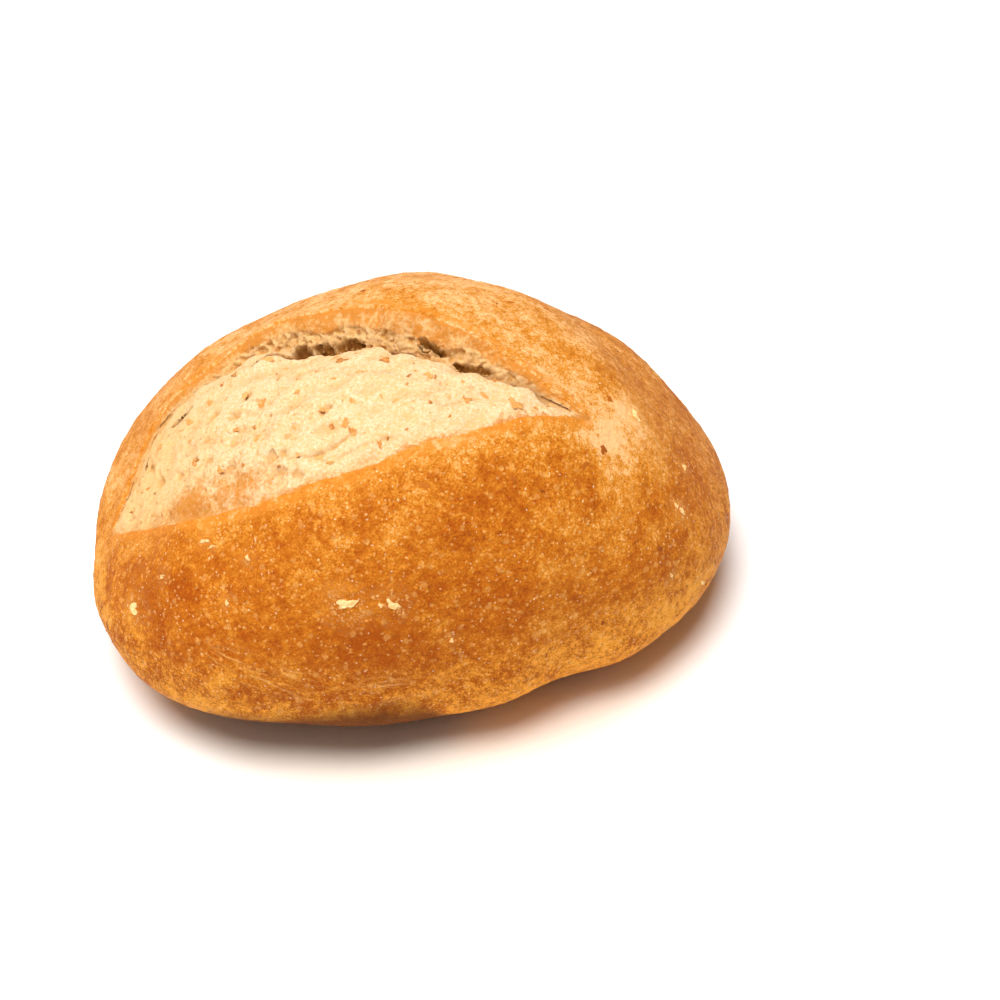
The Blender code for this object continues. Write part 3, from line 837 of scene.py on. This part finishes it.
# Open pores gather in the lower left of the bloom and thin out away from it.
airy = np.exp(-(((share - 0.27) / 0.13) ** 2) - ((across - 0.33) / 0.24) ** 2)
airy = np.clip(airy + 0.25 * smooth_step(0.30, 0.05, share), 0.0, 1.0)
near, _, number = bubbles(sunk + 0.0016 * drift, 0.0034, 130)
pit = smooth_step(0.52, 0.16, near) * (number < 0.01 + 0.50 * airy)
near_small, _, number_small = bubbles(sunk + 0.0008 * drift, 0.0015, 140)
pinhole = smooth_step(0.50, 0.15, near_small) * (number_small < 0.03 + 0.50 * airy)
stretched = (sunk + 0.0016 * drift) * np.array([0.62, 1.0, 1.0])
near_wall, following_wall, number_wall = bubbles(stretched, 0.0026, 150)
torn_ridge = 0.5 + 0.5 * grain(sunk, 0.0024, 155, 2)
hollow = smooth_step(0.05 - 0.25 * torn_ridge, 0.45, following_wall - near_wall)
hollow = hollow * (0.15 + 0.85 * number_wall)
near_tiny, following_tiny, number_tiny = bubbles(sunk + 0.0008 * drift, 0.0012, 170)
tiny_hollow = smooth_step(0.05, 0.50, following_tiny - near_tiny) * number_tiny
shoulder = in_wall - porous_wall
pores = PIT_DEPTH * pit + PINHOLE_DEPTH * pinhole
cells = HOLLOW_DEPTH * hollow + TINY_HOLLOW_DEPTH * tiny_hollow
dimples = SHOULDER_HOLLOW_DEPTH * tiny_hollow
relief = bloom * (crags + fluff + fuzz + fibres - folds - pores)
relief = relief + porous_wall * (fluff + fuzz + fibres - cells)
relief = relief + shoulder * (0.5 * crags + fluff + fuzz + 0.4 * fibres - dimples)
relief = np.where(under, 0.0, relief * shown)
lifted = grid_normals(crumb_grid)
crumb_seat = crumb_grid + lifted * (bloom * crags * shown)[..., None] + CENTRE_SHIFT
crumb_grid = crumb_grid + lifted * relief[..., None] + CENTRE_SHIFT
crumb_tips = crumb_grid[[0, -1]].mean(axis=1)


def smeared(field, columns, rows):
    """The field averaged over that many columns and rows to each side, by running sums."""
    for axis, reach in ((0, columns), (1, rows)):
        edge = [(0, 0), (0, 0)]
        edge[axis] = (reach + 1, reach)
        summed = np.cumsum(np.pad(field, edge, mode="edge"), axis=axis)
        span = 2 * reach + 1
        field = (np.take(summed, np.arange(span, summed.shape[axis]), axis=axis)
                 - np.take(summed, np.arange(summed.shape[axis] - span), axis=axis)) / span
    return field


# The deeper a place lies under what is round it, the warmer and darker the light that reaches it,
# and that shade is painted into the crumb's colour: darker and warmer in pores, folds, the crevice
# and the caves, and on the wall partly its own warmer colour and partly painted shade. The oven has
# toasted the crumb along its front edge, at its lower left and on the shoulder.
below = np.where(under, 0.0, np.clip(depth, 0.0, None) - relief)
near_shade = np.clip((below - smeared(below, 5, 4)) / 0.00032, 0.0, 1.0)
wide_shade = np.clip((below - smeared(below, 14, 9)) / 0.0016, 0.0, 1.0)
toast_edge = from_front + 0.0012 * grain(flat_crumb, 0.0032, 163)
toast = 0.80 * np.exp(-np.maximum(toast_edge, 0.0) / 0.0009)
tan_left = 0.80 * np.exp(-(((share - 0.24) / 0.13) ** 2) - ((across - 0.09) / 0.13) ** 2)
toast = np.maximum(toast, tan_left * smooth_step(-0.9, 0.3, grain(flat_crumb, 0.0030, 162)))
shoulder_toast = 0.46 + 0.45 * grain(flat_crumb, 0.0018, 164)
shoulder_toast = shoulder_toast + 0.60 * np.exp(-np.maximum(from_back, 0.0) / 0.0006)
toast = np.maximum(toast, np.clip(shoulder_toast, 0.0, 1.0) * shoulder)
golden = shoulder + 0.85 * smooth_step(0.32, 0.08, share)
golden = golden + 0.30 * grain(flat_crumb, 0.0055, 165)
slit_shade = 0.7 * slit * gaping / WIDEST_GAPE
crumb_traits = {
    "toast": np.clip(toast, 0.0, 1.0),
    "golden": np.clip(golden, 0.0, 1.0),
    "pore_shade": np.clip(near_shade * (0.55 + 0.45 * porous_wall) + 0.6 * folds / 0.0008, 0.0, 1.0),
    "wall": np.clip(porous_wall * 0.8 + wide_shade, 0.0, 1.0),
    "deep": np.maximum(cave_shade, slit_shade * smooth_step(0.0, 0.3, opened)),
}
crumb = skin("crumb", crumb_grid, crumb_tips, crumb_traits)

CRUMB_WHITE_GLINT = (0.95, 0.780, 0.540)
CRUMB_CREAM = (0.87, 0.605, 0.335)
CRUMB_GOLD = (0.81, 0.485, 0.180)
CRUMB_TOAST = (0.64, 0.232, 0.030)
CRUMB_PORE_SHADE = (0.52, 0.240, 0.050)
CRUMB_WALL_AND_SHADE = (0.72, 0.405, 0.125)
CRUMB_DEEP_SHADE = (0.27, 0.098, 0.013)
CRUMB_BRAN = (0.64, 0.260, 0.060)

crumb_look, tree, at = finish_of("torn_crumb", 0.85, 0.10)
stirred = shaken(tree, at, 900, 0.0010)
fine = noise(tree, at, 1700, 4, 0.85)
TOAST_GRAIN = 1.6
toasted = times(tree, noise(tree, at, 1300, 4, 0.75), TOAST_GRAIN)
toasted = plus(tree, trait(tree, "toast"), toasted)
crumb_layers = (
    (remap(tree, noise(tree, at, 300, 4, 0.65), 0.42, 0.66), CRUMB_GOLD, 0.45),
    # Fine grain of white and gold: partly the crumb's own grain, partly painted fine highlights and
    # shade of its fluff.
    (remap(tree, fine, 0.50, 0.62), CRUMB_GOLD, 0.78),
    (remap(tree, fine, 0.50, 0.38), CRUMB_WHITE_GLINT, 0.75),
    (trait(tree, "golden"), CRUMB_GOLD, 0.72),
    # Painted shade: pores, folds, the crevice and the caves darker and warmer; on the wall partly
    # its own colour.
    (trait(tree, "wall"), CRUMB_WALL_AND_SHADE, 0.70),
    (remap(tree, toasted, 0.84, 1.48), CRUMB_TOAST, 0.95),
    (trait(tree, "pore_shade"), CRUMB_PORE_SHADE, 0.80),
    (trait(tree, "deep"), CRUMB_DEEP_SHADE, 0.95),
    (dots(tree, stirred, 1000, 0.42, 0.30), CRUMB_GOLD, 0.55),
    (dots(tree, stirred, 620, 0.34, 0.16), CRUMB_PORE_SHADE, 0.32),
    (dots(tree, stirred, 700, 0.30, 0.12), CRUMB_BRAN, 0.45),
    (dots(tree, stirred, 300, 0.20, 0.12), CRUMB_BRAN, 0.45),
)
lay = bump(tree, noise(tree, at, 1100, 3, 0.7), 0.00018)
lay = bump(tree, fine, 0.00016, below=lay)
cover(crumb, crumb_look, layered(tree, CRUMB_CREAM, crumb_layers), lay)
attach(crumb, "root")


# Bran flakes
# Flakes of wheat bran are mixed through the dough. They lie in the torn crumb and in the crust as
# thin curled scales with broken rims, reddish brown, and darker where the oven has reached them.
FLAKE_SEED = 11
FLAKE_TRIES = 900
CRUMB_FLAKES = 18
CRUST_FLAKES = 18
FLAKE_MARGIN = 0.0028
FLAKE_SPACING = 0.0075
FLAKE_ALONG = (0.30, 2.75)
FLAKE_AROUND = (-1.75, 1.45)
FLAKE_SPOKES = 14
FLAKE_RINGS = (0.45, 0.8, 1.0)
FLAKE_THICKNESS = 0.00022

# Where the largest flakes lie in the bloom: shares of the score's length and of its width, and
# the flake's length in millimetres.
BLOOM_FLAKES = np.array([
    (0.514, 0.685, 2.4), (0.552, 0.573, 1.5), (0.650, 0.527, 1.2), (0.702, 0.535, 1.1),
    (0.501, 0.532, 1.0), (0.465, 0.603, 1.1), (0.426, 0.494, 1.8), (0.350, 0.519, 2.6),
    (0.271, 0.649, 1.4), (0.234, 0.708, 2.0), (0.258, 0.788, 1.5), (0.540, 0.365, 1.5),
    (0.478, 0.337, 1.3), (0.539, 0.195, 2.8), (0.499, 0.258, 2.4), (0.524, 0.238, 1.6),
    (0.422, 0.295, 1.2), (0.296, 0.409, 1.4), (0.337, 0.386, 1.1), (0.121, 0.656, 1.7),
    (0.428, 0.147, 1.2), (0.492, 0.084, 1.3), (0.371, 0.071, 1.0), (0.264, 0.174, 1.3),
    (0.234, 0.147, 1.2), (0.298, 0.100, 1.8), (0.059, 0.629, 1.1), (0.095, 0.430, 1.2),
    (0.796, 0.431, 2.4), (0.856, 0.218, 3.0), (0.672, 0.851, 1.2), (0.717, 0.872, 1.2),
])
# And in the crust: the two angles of the place, and the length in millimetres.
CRUST_SCALES = np.array([
    (1.819, -0.904, 1.4), (1.845, -1.300, 1.9), (1.983, -1.429, 2.6), (1.862, -1.463, 1.3),
    (1.665, -1.495, 1.6), (1.648, -1.077, 0.9), (2.254, -1.045, 1.3), (2.851, -0.709, 1.2),
    (2.183, -1.425, 1.2), (2.157, -0.555, 2.2), (2.009, -0.709, 1.1), (2.438, -0.577, 1.9),
    (2.706, 0.225, 1.7), (2.290, 0.071, 1.0), (2.070, 0.410, 2.4), (1.291, -0.809, 0.9),
    (1.095, -0.916, 1.2), (1.138, -1.504, 2.0), (0.910, -1.403, 1.8), (1.086, -1.328, 1.5),
])


def fused_places():
    """The seeded places of the flakes that the solid has fused on: on the crumb, then the crust."""
    draw = np.random.default_rng(FLAKE_SEED)
    along = draw.uniform(*FLAKE_ALONG, FLAKE_TRIES)
    around = draw.uniform(*FLAKE_AROUND, FLAKE_TRIES)
    points = dome(along, around)
    share, front, back = score_edges(points[:, 0])
    from_front = points[:, 1] - front
    from_back = back - points[:, 1]
    on_crumb = (from_front > FLAKE_MARGIN) & (from_back > wall_run(share) + FLAKE_MARGIN)
    on_crust = (from_front < -FLAKE_MARGIN) | (from_back < -FLAKE_MARGIN)
    kept = []
    for allowed, count in ((on_crumb, CRUMB_FLAKES), (on_crust, CRUST_FLAKES)):
        enough = len(kept) + count
        for i in np.flatnonzero(allowed):
            gaps = [np.linalg.norm(points[i] - points[j]) for j in kept]
            if len(kept) < enough and min(gaps, default=1.0) > FLAKE_SPACING:
                kept.append(i)
    return points[kept] + CENTRE_SHIFT


def nearest(points, places):
    """The number of the nearest of the points to each place."""
    flat = points.reshape(-1, 3)
    return [int(np.argmin(np.sum((flat - place) ** 2, axis=-1))) for place in places]


def on_bloom(share, across):
    """Points of the dome at shares of the score's length and of its width there."""
    x = SCORE_LEFT_X + share * score_length
    _, front, back = score_edges(x)
    along = np.arccos(-2 * x / LENGTH)
    return dome(along, around_over(along, front + across * (back - front))) + CENTRE_SHIFT


def scales(name, centres, normals, lengths, widths, spins, thickness, curl, seed):
    """Thin closed scales: a top and a bottom disc of rings, with a broken rim and a curl, each laid
    on its own centre, turned by its own spin about its own normal."""
    draw = np.random.default_rng(seed)
    count = len(centres)
    angle = np.arange(FLAKE_SPOKES) * 2 * math.pi / FLAKE_SPOKES
    reach = 1 + 0.07 * draw.normal(size=(count, FLAKE_SPOKES)).clip(-1.6, 1.3)
    for turns, swing in ((2, 0.16), (3, 0.20), (4, 0.12), (5, 0.10)):
        reach = reach + swing * np.sin(turns * angle + draw.uniform(0.0, 2 * math.pi, (count, 1)))
    discs = []
    for side, rings in ((1.0, FLAKE_RINGS), (-1.0, FLAKE_RINGS[:-1])):
        for ring in rings:
            u = ring * reach * np.cos(angle) * lengths[:, None] / 2
            v = ring * reach * np.sin(angle) * widths[:, None] / 2
            buckle = draw.normal(size=(count, FLAKE_SPOKES)) * 0.3 * thickness * ring
            bend = curl[:, None] * (u**2 - 0.6 * v**2) / lengths[:, None]
            height = side * thickness / 2 * (1 - ring**4) + buckle * (side > 0) + bend
            discs.append(np.stack([u, v, height], axis=-1))
    middles = np.zeros((count, 2, 3))
    middles[:, 0, 2] = thickness / 2
    middles[:, 1, 2] = -thickness / 2
    local = np.concatenate([*discs, middles], axis=1)
    helper = np.where(np.abs(normals[:, :1]) < 0.9, [[1.0, 0.0, 0.0]], [[0.0, 1.0, 0.0]])
    first = unit(np.cross(helper, normals))
    second = np.cross(normals, first)
    lengthwise = first * np.cos(spins)[:, None] + second * np.sin(spins)[:, None]
    crosswise = second * np.cos(spins)[:, None] - first * np.sin(spins)[:, None]
    axes = np.stack([lengthwise, crosswise, normals], axis=1)
    points = centres[:, None] + local @ axes
    ring_start = np.arange(len(discs)) * FLAKE_SPOKES
    spoke = np.arange(FLAKE_SPOKES)
    after = (spoke + 1) % FLAKE_SPOKES
    middle_top, middle_low = len(discs) * FLAKE_SPOKES, len(discs) * FLAKE_SPOKES + 1
    faces = [np.stack([np.full(FLAKE_SPOKES, middle_top), spoke, after], -1)]
    bands = [(0, 1), (1, 2), (2, 4), (4, 3)]
    for inner, outer in bands:
        a, b = ring_start[inner] + spoke, ring_start[inner] + after
        c, d = ring_start[outer] + spoke, ring_start[outer] + after
        faces += [np.stack([a, c, d], -1), np.stack([a, d, b], -1)]
    lowest = ring_start[3]
    faces.append(np.stack([np.full(FLAKE_SPOKES, middle_low), lowest + after, lowest + spoke], -1))
    per_scale = local.shape[1]
    triangles = np.concatenate(faces) + (np.arange(count) * per_scale)[:, None, None]
    triangles = triangles.reshape(-1, 3)
    mesh = bpy.data.meshes.new(name)
    mesh.from_pydata(points.reshape(-1, 3).tolist(), [], triangles.tolist())
    write_trait(mesh, "own", np.repeat(draw.uniform(size=count), per_scale))
    return placed(name, mesh)


SMALL_BLOOM_FLAKES = 46
SMALL_CRUST_SCALES = 60
SMALL_LENGTHS = (0.0005, 0.0012)
CRUST_SCALE_THICKNESS = 0.00016
MILLIMETRE = 0.001
IN_PLAN = np.array([1.0, 1.0, 0.0])
FLAKE_LIFT = 0.00004
FAR_AWAY = 9.0
fused = fused_places()
draw = np.random.default_rng(FLAKE_SEED + 5)
small_share = draw.uniform(0.05, 0.93, SMALL_BLOOM_FLAKES)
small_across = draw.uniform(0.06, 0.95, SMALL_BLOOM_FLAKES)
named = on_bloom(BLOOM_FLAKES[:, 0], BLOOM_FLAKES[:, 1])
places = np.concatenate([fused[:CRUMB_FLAKES], named, on_bloom(small_share, small_across)])
lengths = np.concatenate([
    draw.uniform(0.0014, 0.0026, CRUMB_FLAKES), BLOOM_FLAKES[:, 2] * MILLIMETRE,
    draw.uniform(*SMALL_LENGTHS, SMALL_BLOOM_FLAKES),
])
seats = crumb_seat * IN_PLAN
seats[under] = FAR_AWAY
picks = nearest(seats, places * IN_PLAN)
normals = grid_normals(crumb_seat).reshape(-1, 3)[picks]
points = crumb_seat.reshape(-1, 3)[picks] + normals * FLAKE_LIFT
spins = draw.uniform(0.0, math.pi, len(places))
widths = lengths * draw.uniform(0.28, 0.70, len(places))
curl = draw.uniform(-0.25, 0.05, len(places))
crumb_bran = scales(
    "crumb_bran", points, normals, lengths, widths, spins, FLAKE_THICKNESS, curl, 301)

named = dome(CRUST_SCALES[:, 0], CRUST_SCALES[:, 1]) + CENTRE_SHIFT
scatter_along = draw.uniform(0.25, 2.9, SMALL_CRUST_SCALES)
scatter_around = draw.uniform(-1.8, 1.8, SMALL_CRUST_SCALES)
scatter = dome(scatter_along, scatter_around) + CENTRE_SHIFT
scatter_share, scatter_front, scatter_back = score_edges(scatter[:, 0])
in_score = (scatter[:, 1] > scatter_front - 0.002) & (scatter[:, 1] < scatter_back + 0.002)
in_score &= (scatter[:, 2] > BELLY_HEIGHT) & (scatter_share > 0) & (scatter_share < 1)
scatter = scatter[~in_score]
places = np.concatenate([fused[CRUMB_FLAKES:], named, scatter])
lengths = np.concatenate([
    draw.uniform(0.0012, 0.0022, CRUST_FLAKES), CRUST_SCALES[:, 2] * MILLIMETRE,
    draw.uniform(*SMALL_LENGTHS, len(scatter)),
])
crust_normals = grid_normals(crust_grid).reshape(-1, 3)
picks = nearest(crust_grid, places)
points, normals = crust_grid.reshape(-1, 3)[picks], crust_normals[picks]
spins = draw.uniform(0.0, math.pi, len(places))
widths = lengths * draw.uniform(0.35, 0.75, len(places))
curl = draw.uniform(-0.30, 0.0, len(places))
crust_bran = scales(
    "crust_bran", points, normals, lengths, widths, spins, CRUST_SCALE_THICKNESS, curl, 303)

BRAN_RED = (0.68, 0.28, 0.060)
BRAN_TAN = (0.80, 0.44, 0.150)
BRAN_DARK = (0.46, 0.160, 0.035)
BAKED_BRAN_PALE = (0.64, 0.215, 0.022)
BAKED_BRAN_RED = (0.46, 0.120, 0.010)
BAKED_BRAN_DARK = (0.28, 0.064, 0.006)

bran_look, tree, at = finish_of("bran", 0.65, 0.15)
bran_stops = [(0.0, BRAN_TAN), (0.55, BRAN_RED), (1.0, BRAN_DARK)]
streak = remap(tree, noise(tree, at, 1400, 3, 0.6), 0.45, 0.62)
colour = layered(tree, ramp(tree, trait(tree, "own"), bran_stops), [(streak, BRAN_TAN, 0.5)])
cover(crumb_bran, bran_look, colour, bump(tree, noise(tree, at, 1600, 2), 0.0002, 0.7))
baked_bran_look, tree, _ = finish_of("baked_bran", 0.6, 0.10)
baked_stops = [(0.0, BAKED_BRAN_PALE), (0.6, BAKED_BRAN_RED), (1.0, BAKED_BRAN_DARK)]
cover(crust_bran, baked_bran_look, ramp(tree, trait(tree, "own"), baked_stops))
for bran in (crumb_bran, crust_bran):
    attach(bran, "root")


# Crumb tatters
# Where the dough tore, the edges of its bubbles were left as small ragged tags. They stand up all
# over the bloom, and thickest at the lower left and along the torn wall.
TATTERS = 800
TATTER_SEED = 71
TATTER_LENGTHS = (0.00030, 0.00085)
TATTER_THICKNESS = 0.00018
TATTER_TILT = 0.30
# Each tatter takes the crumb's traits at its seat, the painted shade among them.
TATTER_TRAITS = (("toast", 1.0), ("golden", 1.0), ("wall", 0.8), ("pore_shade", 0.35), ("deep", 0.5))

draw = np.random.default_rng(TATTER_SEED)
tatter_weight = shown * ~under * (within > 0.0012)
tatter_weight = tatter_weight * (0.15 + 0.9 * airy + 0.5 * porous_wall + 0.5 * caves)
tatter_weight = tatter_weight * (1 - 0.9 * shoulder) * np.clip(1 - 1.5 * toast, 0.0, 1.0)
tatter_weight = (tatter_weight * np.gradient(plan_y, axis=1).clip(0.0, None)).ravel()
chance = tatter_weight / tatter_weight.sum()
picks = draw.choice(chance.size, TATTERS, replace=False, p=chance)
calmer = np.stack([smeared(crumb_grid[..., k], 2, 2) for k in range(3)], axis=-1)
tatter_normals = grid_normals(calmer).reshape(-1, 3)[picks]
tatter_normals = unit(tatter_normals + TATTER_TILT * draw.normal(size=(TATTERS, 3)))
lengths = draw.uniform(*TATTER_LENGTHS, TATTERS)
widths = lengths * draw.uniform(0.35, 0.8, TATTERS)
spins = draw.uniform(0.0, math.pi, TATTERS)
curl = draw.uniform(-0.5, 0.1, TATTERS)
points = crumb_grid.reshape(-1, 3)[picks]
tatters = scales(
    "tatters", points, tatter_normals, lengths, widths, spins, TATTER_THICKNESS, curl, 305)
per_tatter = len(tatters.data.vertices) // TATTERS
for trait_name, strength in TATTER_TRAITS:
    values = strength * crumb_traits[trait_name].ravel()[picks]
    write_trait(tatters.data, trait_name, np.repeat(values, per_tatter))
tatters.data.materials.append(crumb_look)
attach(tatters, "root")


# Dough chips
# Scraps of dough dried on the skin before the roll was baked. They are flat cream-coloured chips
# with broken edges, each lying where the table in the crust's section puts it.
CHIP_THICKNESS = 0.00042
CHIP_LIFT = 0.00006
CHIP_CURL = -0.10
DOUGH_CREAM = (0.94, 0.68, 0.32)
DOUGH_GOLD = (0.84, 0.44, 0.11)

chip_along, chip_around, lengths, widths, spins, _ = np.array(DOUGH_CHIPS).T
picks = nearest(crust_grid, dome(chip_along, chip_around) + CENTRE_SHIFT)
normals = crust_normals[picks]
points = crust_grid.reshape(-1, 3)[picks] + CHIP_LIFT * normals
curl = np.full(len(picks), CHIP_CURL)
chips = scales("dough_chips", points, normals, lengths, widths, spins, CHIP_THICKNESS, curl, 307)
chip_look, tree, at = finish_of("dried_dough", 0.75, 0.12)
flecked = remap(tree, noise(tree, at, 1500, 3, 0.7), 0.42, 0.66)
colour = layered(tree, DOUGH_CREAM, [(flecked, DOUGH_GOLD, 0.75)])
cover(chips, chip_look, colour, bump(tree, noise(tree, at, 1800, 2), 0.0002, 0.8))
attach(chips, "root")


# Studio
# A plain white floor, tinted warm beside the roll by painted light bounced off its crust, under a
# broad soft sun high overhead and a weak lamp in front. The walls are pale grey and the ceiling is
# dark.
FLOOR_SIZE = 60.0
FLOOR_WHITE = (0.95, 0.945, 0.94)
FLOOR_BOUNCE_TINT = (0.95, 0.865, 0.765)
WALLS_PALE = (0.56, 0.54, 0.52)
ROOM_WARM = (0.12, 0.086, 0.060)
BOUNCE_TINT_UNTIL = (0.047, 0.060)
WALL_TOP = (0.16, 0.34)
half = FLOOR_SIZE / 2
corners = [(-half, -half, 0), (half, -half, 0), (half, half, 0), (-half, half, 0)]
floor_mesh = bpy.data.meshes.new("floor")
floor_mesh.from_pydata(corners, [], [(0, 1, 2, 3)])
floor = placed("floor", floor_mesh)
floor_look, tree, at = finish_of("pale_floor", 0.6, 0.3)
away = node(tree, "ShaderNodeVectorMath", {0: at}, operation="LENGTH").outputs["Value"]
# Painted warm bounce light on the floor close to the roll.
bounce_tint = remap(tree, away, *BOUNCE_TINT_UNTIL, 1.0, 0.0)
cover(floor, floor_look, layered(tree, FLOOR_WHITE, [(bounce_tint, FLOOR_BOUNCE_TINT, 1.0)]))
floor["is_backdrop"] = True

world = bpy.data.worlds.new("studio")
world.use_nodes = True
tree = world.node_tree
toward = node(tree, "ShaderNodeTexCoord").outputs["Generated"]
height = node(tree, "ShaderNodeSeparateXYZ", {0: toward}).outputs["Z"]
overhead = remap(tree, height, *WALL_TOP)
room = layered(tree, WALLS_PALE, [(overhead, ROOM_WARM, 1.0)])
tree.links.new(room, tree.nodes["Background"].inputs["Color"])
bpy.context.scene.world = world

SUN_STRENGTH = 4.10
SUN_WIDTH = math.radians(40)
SUN_DIRECTION = Vector((-0.10, -0.07, 1.00))
FILL_PLACE = Vector((-0.20, -0.50, 0.82))
FILL_AIM = Vector((0.0, 0.0, 0.03))
key = bpy.data.lights.new("key", "SUN")
key.energy = SUN_STRENGTH
key.angle = SUN_WIDTH
placed("key", key).rotation_euler = SUN_DIRECTION.to_track_quat("Z", "Y").to_euler()
fill = bpy.data.lights.new("fill", "AREA")
fill.size = 0.5
fill.energy = 1.0
fill_lamp = placed("fill", fill)
fill_lamp.location = FILL_PLACE
fill_lamp.rotation_euler = (FILL_AIM - FILL_PLACE).to_track_quat("-Z", "Y").to_euler()

# The view is from 44 degrees above and 4 degrees to the right of the front, leaning 7 degrees,
# and the roll stands left of the middle of the picture.
VIEW_AZIMUTH = math.radians(4.0)
VIEW_ELEVATION = math.radians(44.0)
VIEW_LEAN = math.radians(-7.0)
VIEW_CENTRE = Vector((0.0, 0.0, 0.0279))
VIEW_DISTANCE = 0.536
VIEW_LENS = 108.0
PICTURE_FOCAL = 3000.0
ROLL_IN_PICTURE = (405.7, 475.8)

level = math.cos(VIEW_ELEVATION)
sideways = Vector((math.cos(VIEW_AZIMUTH), math.sin(VIEW_AZIMUTH), 0.0))
backward = Vector((
    math.sin(VIEW_AZIMUTH) * level, -math.cos(VIEW_AZIMUTH) * level, math.sin(VIEW_ELEVATION)))
upward = backward.cross(sideways)
right = sideways * math.cos(VIEW_LEAN) + upward * math.sin(VIEW_LEAN)
top = upward * math.cos(VIEW_LEAN) - sideways * math.sin(VIEW_LEAN)
eye = VIEW_CENTRE + backward * VIEW_DISTANCE
per_pixel = VIEW_DISTANCE / PICTURE_FOCAL
aim = VIEW_CENTRE + right * (500 - ROLL_IN_PICTURE[0]) * per_pixel
aim = aim + top * (ROLL_IN_PICTURE[1] - 500) * per_pixel
backward = (eye - aim).normalized()
right = (right - backward * right.dot(backward)).normalized()
top = backward.cross(right)
camera_data = bpy.data.cameras.new("camera")
camera_data.lens = VIEW_LENS
camera_data.sensor_width = 36.0
camera = placed("camera", camera_data)
turn = Matrix((right, top, backward)).transposed().to_4x4()
camera.matrix_world = Matrix.Translation(eye) @ turn
bpy.context.scene.camera = camera
bpy.context.scene.view_settings.view_transform = "Standard"

low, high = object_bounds()
